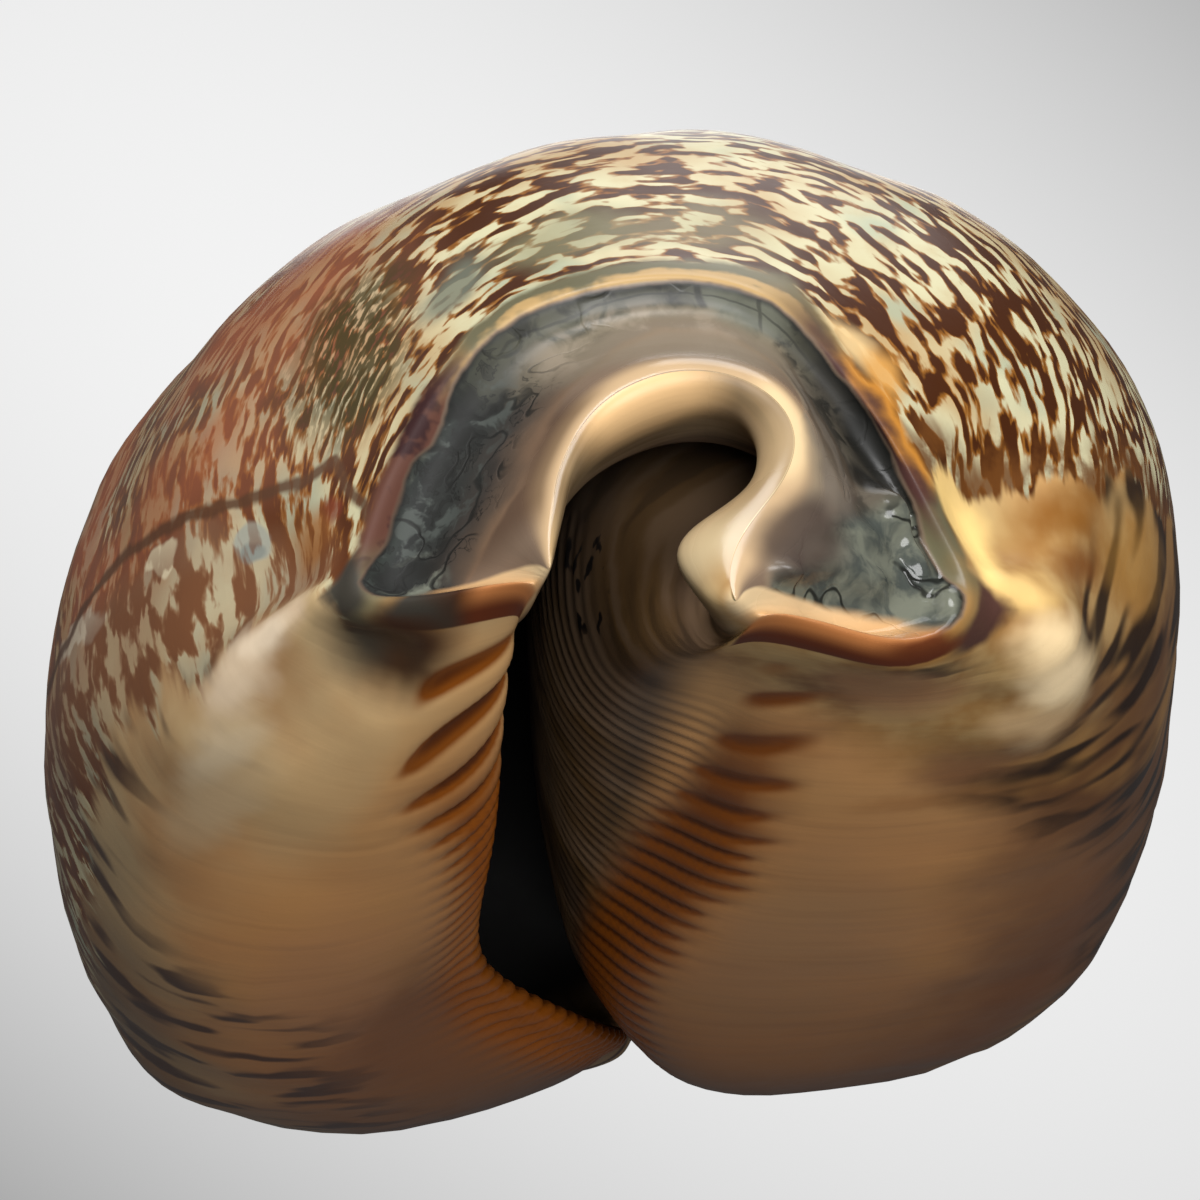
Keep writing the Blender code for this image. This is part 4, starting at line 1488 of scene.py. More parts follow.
@dataclass(frozen=True)
class FrontFinish:
    """The front end: a blushing ridge round a dark glassy moat, and the canal's pale rolled rim."""

    ridge_cream: Colour = (0.105, 0.095, 0.052)
    ridge_gold: Colour = (0.42, 0.27, 0.11)
    ridge_pink: Colour = (0.075, 0.026, 0.015)
    ridge_maroon: Colour = (0.022, 0.004, 0.004)
    ridge_orange: Colour = (0.46, 0.19, 0.026)
    ridge_violet: Colour = (0.055, 0.022, 0.018)
    glass_dark: Colour = (0.006, 0.006, 0.005)
    glass: Colour = (0.046, 0.052, 0.046)
    glass_pale: Colour = (0.125, 0.130, 0.100)
    top_cloud: Colour = (0.27, 0.22, 0.165)
    band_brown: Colour = (0.060, 0.042, 0.026)
    blush: Colour = (0.19, 0.145, 0.100)
    # colours of the painted shade in the recess behind the left beak and on that beak's roll; recess_blue
    # also darkens the ridge's left corner, recess_brown the rim's left side
    recess_blue: Colour = (0.030, 0.026, 0.020)
    recess_brown: Colour = (0.036, 0.012, 0.004)
    left_floor: tuple[tuple[float, Colour], ...] = (
        (0.0, (0.15, 0.092, 0.056)), (0.16, (0.085, 0.058, 0.040)), (0.34, (0.036, 0.029, 0.024)),
        (0.55, (0.017, 0.018, 0.016)), (0.80, (0.008, 0.009, 0.008)), (1.0, (0.024, 0.030, 0.025)),
    )
    top_floor: tuple[tuple[float, Colour], ...] = (
        (0.0, (0.19, 0.135, 0.085)), (0.14, (0.16, 0.125, 0.088)), (0.44, (0.150, 0.125, 0.086)),
        (0.56, (0.056, 0.052, 0.036)), (0.70, (0.064, 0.063, 0.042)), (1.0, (0.052, 0.052, 0.034)),
    )
    right_floor: tuple[tuple[float, Colour], ...] = (
        (0.0, (0.30, 0.23, 0.15)), (0.13, (0.18, 0.145, 0.110)), (0.34, (0.120, 0.098, 0.076)),
        (0.52, (0.068, 0.058, 0.042)), (0.74, (0.020, 0.018, 0.014)), (1.0, (0.011, 0.011, 0.009)),
    )
    # hollow: the dark colour of a painted shade beside the rim's curl, over the rim and the moat's edge
    hollow: Colour = (0.060, 0.042, 0.033)
    rim: Colour = (0.42, 0.29, 0.165)
    rim_pink: Colour = (0.175, 0.120, 0.082)
    rim_cream: Colour = (0.60, 0.44, 0.25)
    beak_tan: Colour = (0.50, 0.29, 0.13)
    beak: Colour = (0.33, 0.120, 0.036)
    beak_dark: Colour = (0.085, 0.018, 0.005)


@dataclass(frozen=True)
class LipFinish:
    """The lips: tan teeth with orange-brown stain in the grooves."""

    stain: Colour = (0.19, 0.050, 0.003)
    deep: Colour = (0.055, 0.011, 0.0008)


@dataclass(frozen=True)
class InsideFinish:
    """The hollow: grey-brown ribbed wall, then near black, a painted shade deep inside."""

    wall: Colour = (0.095, 0.052, 0.020)
    violet: Colour = (0.095, 0.058, 0.034)
    streak: Colour = (0.165, 0.105, 0.062)
    fleck: Colour = (0.008, 0.005, 0.004)
    canal: Colour = (0.38, 0.27, 0.145)
    arch: Colour = (0.72, 0.46, 0.22)
    tongue: Colour = (0.40, 0.31, 0.18)
    # a bright cream spot on the curl's lower face: a painted highlight on its cream
    curl_cream_and_highlight: Colour = (0.95, 0.80, 0.46)
    # near black of the deep hollow: painted shade
    dark: Colour = (0.0022, 0.0016, 0.0012)


@dataclass
class ShellEnamel:
    """The one enamel of the whole shell, painted zone by zone."""

    base: BaseFinish = BaseFinish()
    margin: MarginFinish = MarginFinish()
    back: BackFinish = BackFinish()
    front: FrontFinish = FrontFinish()
    lip: LipFinish = LipFinish()
    inside: InsideFinish = InsideFinish()
    gloss: float = 0.36

    def material(self, zone: Zone) -> bpy.types.Material:
        """Builds one zone's material.

        What can't reach a zone is left out of its nodes, so the zones meet without a seam.

        Args:
            zone: The zone.

        Returns:
            The enamel, its colour, roughness and height made by nodes.
        """
        p = Painter.of(f"shell {zone.value.lower()}")
        self.p = p
        self.mm = p.mapped(p.add("ShaderNodeTexCoord").outputs["Object"], (1000.0, 1000.0, 1000.0))
        flow = p.stored("flow")
        place = p.stored("place")
        self.course, self.round, self.depth = p.parts(place)
        p.course, p.reach = self.course, REACH[zone]
        self.drift = p.noises(self.mm, 3.2, 3.0)
        p.place_vector = p.pushed(place, self.drift, (0.5, 0.5, 0.0))
        self.moat_out, self.moat_in, self.crest = p.parts(p.stored("front_zone"))
        self.back_left, self.back_right, _ = p.parts(p.stored("back_zone"))
        self.labial, self.columellar, self.full_round = p.parts(p.stored("lip_zone"))
        self.flow = p.mapped(flow, (1.0, 1.0, 0.0))
        self.cloud = p.noise(self.mm, 7.0, 3.0)
        self.grain = p.noise(self.mm, 1.6, 4.0, 0.6)
        self.wobble = p.math("MULTIPLY", p.math("SUBTRACT", p.noise(self.mm, 2.2, 3.0), 0.5), 2.4)
        self.small = p.math("MULTIPLY", p.math("SUBTRACT", p.noise(self.mm, 1.4, 3.0), 0.5), 1.1)
        self.crest_wavy = p.math("ADD", self.crest, self.small)

        colour, glass = None, None
        self.count_teeth()
        if zone in (Zone.FRONT, Zone.MARGIN, Zone.BASE):
            colour = self.paint_margins(self.paint_base())
        if zone in (Zone.FRONT, Zone.MARGIN, Zone.BACK):
            colour = self.paint_back(colour)
        if zone in (Zone.FRONT, Zone.MARGIN, Zone.BASE):
            colour = self.paint_lips(p.tinted(colour, *self.margin.ridge))
        if zone is Zone.FRONT:
            colour, glass = self.paint_front(colour)
        if zone is not Zone.BACK:
            colour = self.paint_inside(colour)
        self.finish(colour, glass)
        return p.material

    # ------------------------------------------------ zones
    def paint_base(self) -> Socket:
        """The base's ground colour, under everything else.

        Returns:
            The colour.
        """
        p, f = self.p, self.base
        colour = p.mix(p.step(self.cloud, 0.35, 0.65, 0.6), f.tan, f.rose)
        colour = p.mix(p.step(self.course, 8.6, 5.4, 0.85), colour, f.cream)
        colour = p.tinted(colour, *f.tints)
        colour = p.mix(p.step(self.course, 8.2, 11.2, 0.85), colour, f.brown)
        colour = p.mix(p.step(self.course, 10.4, 13.0, 0.9), colour, f.dark)
        streaks = p.noise(p.mapped(self.flow, (0.07, 0.8, 1.0)), 1.0, 2.0)
        return p.mix(p.step(streaks, 0.52, 0.72, 0.15), colour, f.brown)

    def paint_margins(self, under: Socket) -> Socket:
        """The flanks between the back's edge and the base, with their blurred strokes.

        Args:
            under: The colour so far.

        Returns:
            The colour with the margins laid over it.
        """
        p, f = self.p, self.margin
        below_left = p.math("MULTIPLY_ADD", self.back_left, -1.0, self.wobble)
        below_right = p.math("MULTIPLY_ADD", self.back_right, -1.0, self.wobble)
        left = p.times(p.step(below_left, -1.5, 1.5), p.step(below_left, 15.5, 8.0))
        right = p.times(p.step(below_right, -1.5, 1.5), p.step(below_right, 21.0, 16.0))
        ground = p.mix(p.step(self.cloud, 0.38, 0.62), f.cream, f.buff)
        colour = p.mix(p.times(left, 0.9), under, ground)
        golden = p.mix(p.step(self.cloud, 0.40, 0.60), f.gold, f.brown)
        glow = p.times(p.step(self.wobble, -0.35, 0.45, 0.7), p.step(self.course, 7.4, 6.0))
        golden = p.mix(glow, golden, f.glow)
        colour = p.mix(p.times(right, 0.9), colour, golden)
        rear = p.step(self.course, 7.6, 9.6, 0.65)
        colour = p.mix(p.times(p.either(left, right), rear), colour, f.brown)
        place = p.warped(self.flow, 6.0, (1.8, 1.4, 0.0))
        spots = p.noise(p.mapped(place, (0.23, 0.54, 1.0), (3.1, 0.4, 2.0)), 1.0, 1.0, 0.4)
        inward = p.math("MULTIPLY_ADD", p.step(self.course, 9.6, 8.0), 9.0, below_left)
        left = p.times(p.step(below_left, -1.5, 1.5), p.step(inward, 21.0, 15.5))
        left = p.times(left, p.opposite(p.spot(5.1, 3.9, 1.6, 1.3, 0.4)))
        colour = p.mix(p.times(p.step(spots, 0.49, 0.62), left, 0.92), colour, f.left_spot)
        clear = p.either(p.spot(5.2, 15.2, 0.95, 1.9, 0.35), p.spot(6.2, 16.9, 0.9, 0.95, 0.4))
        right = p.times(right, p.opposite(clear), p.step(self.round, 17.7, 16.9))
        colour = p.mix(p.times(p.step(spots, 0.44, 0.60), right, 0.95), colour, f.right_spot)
        return p.tinted(colour, *f.tints)

    def paint_back(self, under: Socket | None) -> Socket:
        """The back's pale ground and its script of strokes.

        Args:
            under: The colour so far, or none where the back covers it.

        Returns:
            The colour with the back laid over it.
        """
        p, f = self.p, self.back
        drip = p.noise(p.mapped(self.flow, (0.12, 0.75, 1.0)), 1.0, 3.0)
        drops = p.math("SUBTRACT", drip, 0.5)
        left_edge = p.math("ADD", p.math("ADD", self.back_left, 6.5), p.times(drops, 6.0))
        lower = p.math("MULTIPLY_ADD", p.step(self.course, 5.6, 7.2), 2.4, 0.5)
        right_edge = p.math("ADD", p.math("ADD", self.back_right, lower), p.times(drops, 5.0))
        zone = p.times(
            p.step(left_edge, -0.8, 0.8), p.step(right_edge, -0.25, 0.25), p.step(self.crest_wavy, -0.4, 0.3),
            p.step(self.depth, 0.6, 0.0), p.opposite(p.spot(5.5, 4.3, 1.1, 0.65, 0.5)),
        )
        ground = p.mix(p.step(self.cloud, 0.40, 0.62), f.pale, f.beige)
        cool = p.noise(self.mm, 4.0, 2.0)
        ground = p.mix(p.step(cool, 0.50, 0.68, 0.8), ground, f.blue)
        ground = p.mix(p.times(p.step(self.grain, 0.5, 0.75), 0.3), ground, f.beige)

        place = p.warped(self.flow, 3.0, (1.8, 1.0, 0.0), 2.0)
        script = p.noise(p.mapped(place, (0.70, 2.45, 1.0), (1.3, 5.2, 0.7)), 1.0, 1.5, 0.40)
        fine = p.noise(p.mapped(place, (1.7, 4.4, 1.0), (7.0, 2.0, 1.9)), 1.0, 2.0)
        broad = p.noise(p.mapped(place, (0.16, 0.35, 1.0), (2.0, 9.0, 4.2)), 1.0, 1.0)
        blots = p.noise(p.mapped(place, (0.62, 0.95, 1.0), (4.0, 1.0, 2.2)), 1.0, 2.0)
        script = p.blend(p.step(self.round, 6.9, 5.6, 0.85), script, blots)
        script = p.math("ADD", script, p.math("MULTIPLY", p.math("SUBTRACT", fine, 0.5), 0.20))
        script = p.math("ADD", script, p.math("MULTIPLY", p.math("SUBTRACT", broad, 0.54), 0.18))
        colour = p.mix(p.step(script, 0.425, 0.500), ground, f.golden)
        colour = p.mix(p.step(script, 0.485, 0.550), colour, f.stroke)

        upper_left = p.spot(9.0, 7.0, 4.6, 2.7, 0.5)
        haze = p.times(upper_left, p.step(p.noise(self.mm, 5.0, 3.0), 0.30, 0.62))
        colour = p.mix(p.times(upper_left, 0.35), colour, f.dusk)
        colour = p.mix(p.times(haze, 0.64), colour, f.haze)
        olive = p.times(p.spot(5.55, 7.1, 0.80, 1.2, 0.7), p.step(fine, 0.34, 0.52))
        colour = p.mix(p.times(olive, 0.9), colour, f.olive)
        colour = p.tinted(colour, *f.tints)
        band = p.times(p.spot(7.3, 11.6, 1.0, 2.6, 0.8), p.step(broad, 0.35, 0.60), 0.6)
        colour = p.mix(band, colour, f.band)
        rust = p.times(p.step(self.back_left, 1.0, -2.5), p.step(script, 0.43, 0.54))
        colour = p.mix(p.times(rust, 0.75), colour, f.rust)
        near = p.times(p.step(right_edge, 2.4, 0.6), p.step(self.grain, 0.30, 0.55), 0.9)
        colour = p.mix(near, colour, f.drip)
        mantle = p.line(p.math("MULTIPLY_ADD", self.wobble, 0.5, self.back_left), 0.4, 0.42)
        mantle = p.times(mantle, p.step(self.round, 8.0, 7.0), 0.9)
        colour = p.mix(mantle, colour, f.line)
        return p.mix(zone, under, colour) if under else colour

    def count_teeth(self) -> None:
        """Reads the running numbers and strengths of the teeth and ribs."""
        p = self.p
        self.tooth_turns = [p.math("MULTIPLY", count, TAU) for count in p.parts(p.stored("tooth_count"))]
        self.tooth_weights = p.parts(p.stored("tooth_weight"))

    def paint_lips(self, under: Socket) -> Socket:
        """Stains the lips' grooves.

        Args:
            under: The colour so far.

        Returns:
            The colour with the stain.
        """
        p, f = self.p, self.lip
        colour = under
        rearward = (p.step(self.course, 5.8, 8.0), p.step(self.course, 5.9, 6.8))
        for place, (sharp, warm, share) in enumerate(zip((2.4, 1.6), rearward, (1.4, 1.15))):
            wave = p.math("MULTIPLY_ADD", p.math("COSINE", self.tooth_turns[place]), 0.5, 0.5)
            weight = self.tooth_weights[place]
            colour = p.mix(p.times(weight, warm, share), colour, f.stain)
            groove = p.times(p.math("POWER", wave, sharp), weight)
            colour = p.mix(p.step(groove, 0.06, 0.45), colour, f.stain)
            colour = p.mix(p.step(groove, 0.50, 0.98, 0.8), colour, f.deep)
        return colour

    def paint_front(self, under: Socket) -> tuple[Socket, Socket]:
        """The ridge, the moat, the rim and the beaks.

        Args:
            under: The colour so far.

        Returns:
            The colour, and how glassy the surface is.
        """
        p = self.p
        outside = p.step(self.depth, 0.5, 0.0)
        colour = p.mix(p.times(p.step(self.crest_wavy, 0.8, 0.0), outside), under, self.ridge_colour())
        out = p.math("ADD", self.moat_out, p.math("MULTIPLY", self.small, 0.35))
        into = p.math("ADD", self.moat_in, p.math("MULTIPLY", self.small, 0.7))
        colour = p.mix(p.times(p.step(out, -0.1, 0.1), outside), colour, self.rim_colour())
        floor = self.moat_colour(out, into)
        moat = p.times(p.step(out, -0.05, 0.20), p.step(into, -0.35, 0.35), outside)
        colour = p.mix(moat, colour, floor)
        glass = p.times(moat, p.step(into, 0.2, 1.8))
        # painted shade: a dark patch beside the rim's curl, on the rim's outer face and the moat's edge
        hollow = p.times(p.spot(0.8, 16.3, 0.95, 1.75), outside, 0.9)
        colour = p.mix(hollow, colour, self.front.hollow)
        colour = self.lay_beaks(colour)
        return colour, glass

    def ridge_colour(self) -> Socket:
        """The ridge's blush: cream over the top, pink and maroon on the left, orange on the right.

        Returns:
            The colour.
        """
        p, f = self.p, self.front
        colour = p.mix(p.step(self.cloud, 0.40, 0.62, 0.5), f.ridge_cream, f.ridge_orange)
        colour = p.mix(p.spot(4.3, 10.3, 1.6, 2.4, 0.5), colour, f.ridge_cream)
        pink = p.spot(4.0, 6.3, 1.9, 2.1, 0.5)
        colour = p.mix(pink, colour, f.ridge_pink)
        blotch = p.times(pink, p.step(p.noise(self.mm, 1.5, 3.0), 0.52, 0.62))
        colour = p.mix(blotch, colour, f.ridge_maroon)
        colour = p.mix(p.times(p.spot(5.0, 5.1, 0.8, 0.6), 0.85), colour, f.ridge_orange)
        colour = p.mix(p.spot(4.3, 13.6, 1.2, 1.0, 0.5), colour, f.ridge_orange)
        golden = p.times(p.line(self.crest_wavy, -0.7, 0.42), p.spot(4.3, 10.3, 1.6, 3.4, 0.6), 0.9)
        colour = p.mix(golden, colour, f.ridge_gold)
        inner = p.step(self.crest_wavy, 0.3, -0.6)
        colour = p.mix(p.times(inner, p.spot(4.2, 13.6, 1.4, 1.9, 0.5)), colour, f.ridge_violet)
        colour = p.mix(p.times(p.spot(4.5, 4.3, 0.75, 0.85, 0.5), 0.95), colour, f.recess_blue)
        colour = p.mix(p.times(p.spot(5.0, 4.75, 0.30, 0.45), 0.8), colour, f.ridge_pink)
        return p.mix(p.times(p.spot(4.75, 16.05, 0.55, 0.70, 0.4), 0.95), colour, f.ridge_violet)

    def rim_colour(self) -> Socket:
        """The canal's rolled rim and the blush that spreads from it.

        Returns:
            The colour.
        """
        p, f = self.p, self.front
        colour = p.mix(p.step(self.course, 0.9, 0.25), f.rim_pink, f.rim)
        colour = p.mix(p.spot(1.6, 10.2, 1.6, 2.6, 0.6), colour, f.blush)
        left_side = p.times(p.step(self.round, 2.1, 3.7), p.step(self.round, 7.8, 6.2))
        dull = p.times(left_side, p.step(self.course, 0.05, 0.45), 0.6)
        colour = p.mix(dull, colour, f.recess_brown)
        # cream on the rim's curl: partly the rim's own cream, partly a painted highlight
        curl_cream_and_highlight = p.times(p.step(self.course, 0.6, 0.15), p.spot(0.0, 13.1, 1.5, 2.2, 0.5))
        return p.mix(curl_cream_and_highlight, colour, f.rim_cream)

    def moat_colour(self, out: Socket, into: Socket) -> Socket:
        """The moat's floor.

        Args:
            out: Millimetres inside its outer outline.
            into: Millimetres from its inner one.

        Returns:
            The colour, dark veins in it.
        """
        p, f = self.p, self.front
        share = p.math("DIVIDE", into, p.math("MAXIMUM", p.math("ADD", into, out), 0.2))
        uneven = p.math("SUBTRACT", p.noise(self.mm, 2.6, 3.0), 0.5)
        share = p.math("ADD", share, p.math("MULTIPLY", uneven, 0.30))
        left = p.ramp(share, *f.left_floor)
        top = p.ramp(share, *f.top_floor)
        right = p.ramp(share, *f.right_floor)
        side = p.math("ADD", self.round, p.math("MULTIPLY", uneven, 1.4))
        colour = p.mix(p.step(side, 7.4, 8.9), left, top)
        colour = p.mix(p.step(side, 11.9, 12.7), colour, right)

        mottle = p.noise(p.warped(self.mm, 1.5, (1.6, 1.6, 1.6)), 1.7, 4.0, 0.6)
        deep = p.step(share, 0.25, 0.55)
        colour = p.mix(p.times(p.step(mottle, 0.51, 0.40), deep, 0.75), colour, f.glass_dark)
        paler = p.times(p.step(mottle, 0.53, 0.60), deep, p.step(side, 8.8, 7.6), 0.9)
        colour = p.mix(paler, colour, f.glass)
        colour = p.mix(p.times(p.spot(3.6, 10.2, 0.6, 1.3), 0.35), colour, f.glass_dark)
        colour = p.mix(p.times(p.spot(3.4, 11.5, 0.9, 0.8), 0.7), colour, f.glass_pale)
        cloudy = p.times(p.step(mottle, 0.48, 0.62), p.spot(2.4, 9.9, 1.1, 2.2), 0.5)
        colour = p.mix(cloudy, colour, f.top_cloud)
        whitish = p.either(p.spot(2.9, 3.9, 0.9, 0.9), p.spot(3.6, 6.7, 0.35, 1.2))
        colour = p.mix(p.times(whitish, p.step(mottle, 0.46, 0.60)), colour, f.glass_pale)
        lumps = p.spot(3.0, 16.75, 2.35, 2.4, 0.16)
        lump_colour = p.mix(p.step(mottle, 0.38, 0.60), f.glass, f.glass_pale)
        colour = p.mix(lumps, colour, lump_colour)

        swirl = p.noise(p.warped(self.mm, 2.0, (2.4, 2.4, 2.4), 2.0), 2.3, 1.0)
        veins = p.either(p.line(swirl, 0.50, 0.030), p.line(mottle, 0.47, 0.012))
        veins = p.times(veins, p.step(side, 9.2, 7.6), p.step(share, 0.12, 0.30))
        veins = p.either(veins, p.times(p.line(swirl, 0.47, 0.022), lumps))
        ring = p.times(p.line(share, 0.74, 0.030), p.spot(3.2, 10.4, 1.6, 2.4, 0.3))
        crack = p.math("ADD", self.round, p.math("MULTIPLY", uneven, 0.35))
        cracks = p.times(
            p.either(p.line(crack, 11.0, 0.07), p.times(p.line(crack, 11.75, 0.05), 0.7)),
            p.step(share, 0.42, 0.55),
        )
        veins = p.either(veins, p.times(ring, 0.6), p.times(cracks, 0.9))
        colour = p.mix(p.times(veins, 0.85), colour, f.glass_dark)
        rings = p.either(p.line(share, 0.20, 0.07), p.line(share, 0.40, 0.05))
        banded = p.times(p.spot(2.2, 13.3, 2.2, 1.5, 0.5), p.opposite(lumps), rings, 0.6)
        colour = p.mix(banded, colour, f.band_brown)
        colour = p.mix(p.times(p.step(out, 0.42, 0.08), 0.9), colour, f.glass_dark)
        # painted shade darkens the moat's pit
        pit_shade = p.either(p.spot(3.3, 13.7, 0.8, 0.75), p.spot(2.3, 14.15, 0.6, 0.4))
        return p.mix(p.times(pit_shade, 0.9), colour, f.glass_dark)

    def lay_beaks(self, under: Socket) -> Socket:
        """The rolled lips of the two beaks, and the shaded recess behind the left one.

        Args:
            under: The colour so far.

        Returns:
            The colour with the beaks laid over it.
        """
        p, f = self.p, self.front
        left, right, _ = p.parts(p.stored("beak_zone"))
        outside = p.step(self.depth, 0.7, 0.0)
        rolled = p.math("MAXIMUM", left, right)
        rolled = p.math("ADD", rolled, p.math("MULTIPLY", self.small, 0.35))
        zone = p.times(p.step(rolled, -0.25, 0.35), outside)
        # cream on the rolls' tops next to the rim: partly the rim's own cream, partly a painted highlight
        roll = p.mix(p.step(self.course, 1.4, 2.9), f.rim_cream, f.beak_tan)
        roll = p.mix(p.step(self.course, 2.9, 4.3), roll, f.beak)
        roll = p.mix(p.step(self.course, 4.3, 4.75), roll, f.beak_dark)
        roll = p.mix(p.times(p.spot(4.5, 16.7, 0.7, 1.1), 0.9), roll, f.beak_dark)
        shaded = p.times(p.step(self.round, 1.5, 2.2), p.step(self.round, 8.0, 7.0))
        shaded = p.times(shaded, p.step(self.course, 2.3, 3.3))
        roll = p.mix(shaded, roll, p.mix(p.step(self.cloud, 0.42, 0.58), f.recess_brown, f.recess_blue))
        colour = p.mix(zone, under, roll)
        # painted shade in the recess under the left beak's roll
        recess = p.times(p.spot(5.15, 3.0, 0.75, 1.7, 0.7), p.step(self.course, 4.35, 4.6))
        recess_colour = p.mix(p.spot(5.3, 4.0, 0.8, 1.0), f.recess_brown, f.recess_blue)
        return p.mix(p.times(recess, 0.95), colour, recess_colour)

    def paint_inside(self, under: Socket | None) -> Socket:
        """Paints the ribbed wall, the canal and the dark hollow, whose near black deep inside is painted
        shade.

        Args:
            under: The colour so far, or none where the wall covers it.

        Returns:
            The colour with the wall laid over it.
        """
        p, f = self.p, self.inside
        unbroken = p.add("ShaderNodeCombineXYZ")
        p.feed(unbroken.inputs[0], self.course)
        p.feed(unbroken.inputs[1], self.full_round)
        p.place_vector = p.pushed(unbroken.outputs[0], self.drift, (0.5, 0.5, 0.0))
        wall_zone = p.step(self.depth, 0.15, HOLLOW_DEPTH)
        wall = p.mix(p.step(self.cloud, 0.4, 0.6), f.wall, f.violet)
        streak = p.noise(p.mapped(p.place_vector, (3.2, 0.26, 0.0)), 1.0, 1.0)
        wall = p.mix(p.step(streak, 0.45, 0.62, 0.6), wall, f.streak)
        wall = p.mix(p.step(streak, 0.46, 0.36, 0.4), wall, f.fleck)
        groove = p.step(p.math("SINE", self.tooth_turns[2]), 0.2, -0.9)
        wall = p.mix(p.times(groove, self.tooth_weights[2], 0.45), wall, f.fleck)
        flecks = p.times(p.spot(6.5, 22.9, 0.5, 0.8, 0.4), p.step(p.noise(self.mm, 1.0, 2.0), 0.58, 0.62))
        wall = p.mix(flecks, wall, f.fleck)
        canal = p.times(p.step(self.course, 4.2, 1.4), p.step(self.cloud, 0.2, 0.7, 1.0))
        wall = p.mix(canal, wall, f.canal)
        wall = p.mix(p.times(p.spot(0.8, 32.2, 1.7, 3.4), 0.9), wall, f.arch)
        tongue = p.times(p.spot(-0.3, 22.2, 2.6, 2.6, 0.7), 0.9)
        wall = p.mix(tongue, wall, f.tongue)
        # painted highlight: a bright cream spot on the curl's lower face
        wall = p.mix(p.times(p.spot(0.7, 20.7, 1.1, 1.2, 0.7), 0.9), wall, f.curl_cream_and_highlight)
        # painted shade: deep in the hollow and far inside the labial lip the wall turns near black
        deep = p.either(p.step(self.depth, 15.0, 30.0), p.step(self.labial, -1.5, -6.0))
        wall = p.mix(p.times(deep, p.step(self.course, 4.5, 6.5)), wall, f.dark)
        return p.mix(wall_zone, under, wall) if under else wall

    def finish(self, colour: Socket, glass: Socket | None) -> None:
        """Wires colour, roughness and height into the shader.

        Args:
            colour: The finished colour.
            glass: How glassy the surface is, or none where nothing is.
        """
        p = self.p
        shader = p.add("ShaderNodeBsdfPrincipled")
        p.feed(shader.inputs["Base Color"], colour)
        rough = p.math("MULTIPLY_ADD", self.grain, 0.16, self.gloss - 0.08)
        shiny = [p.times(p.step(self.course, 1.1, 0.5), 0.17)]
        shiny.append(p.times(p.spot(3.0, 18.2, 2.2, 1.8, 0.4), 0.14))
        if glass:
            shiny.append(p.times(glass, p.step(self.round, 14.2, 14.7), 0.24))
        rough = p.math("SUBTRACT", rough, p.either(*shiny))
        satin = p.times(p.spot(3.8, 6.0, 3.2, 3.8, 0.5), p.step(self.course, 0.9, 1.5))
        satin = p.either(satin, p.spot(3.5, 12.7, 1.3, 1.3, 0.4))
        rough = p.math("ADD", rough, p.times(satin, 0.30))
        rough = p.math("ADD", rough, p.step(self.depth, 2.0, 12.0, 0.35), clamp=True)
        p.feed(shader.inputs["Roughness"], rough)
        shader.inputs["IOR"].default_value = 1.45
        shader.inputs["Specular IOR Level"].default_value = 0.33
        mm = p.mapped(p.add("ShaderNodeTexCoord").outputs["Object"], (1000.0, 1000.0, 1000.0))
        growth = p.noise(p.mapped(p.stored("flow"), (0.05, 1.1, 0.0)), 1.0, 3.0)
        height = p.math("MULTIPLY", growth, 0.03)
        height = p.math("ADD", height, p.math("MULTIPLY", p.noise(mm, 1.6, 4.0, 0.6), 0.02))
        if glass:
            moat, inner, _ = p.parts(p.stored("front_zone"))
            swirl = p.line(p.noise(p.warped(mm, 2.0, (2.4, 2.4, 2.4), 2.0), 2.3, 1.0), 0.49, 0.03)
            swirl = p.times(swirl, p.step(moat, 0.0, 0.4), p.step(inner, 0.5, 2.0), 0.02)
            height = p.math("SUBTRACT", height, swirl)
        bump = p.add("ShaderNodeBump")
        bump.inputs["Strength"].default_value = 0.6
        bump.inputs["Distance"].default_value = MM
        p.feed(bump.inputs["Height"], height)
        p.feed(shader.inputs["Normal"], bump.outputs[0])
        output = p.add("ShaderNodeOutputMaterial")
        p.feed(output.inputs["Surface"], shader.outputs[0])


# ---------------------------------------------------------------- studio
@dataclass(frozen=True)
class SoftBox:
    """One soft lamp: where it hangs, in metres from the shell, how wide it is and its power."""

    name: str
    place: Point
    size: float
    power: float


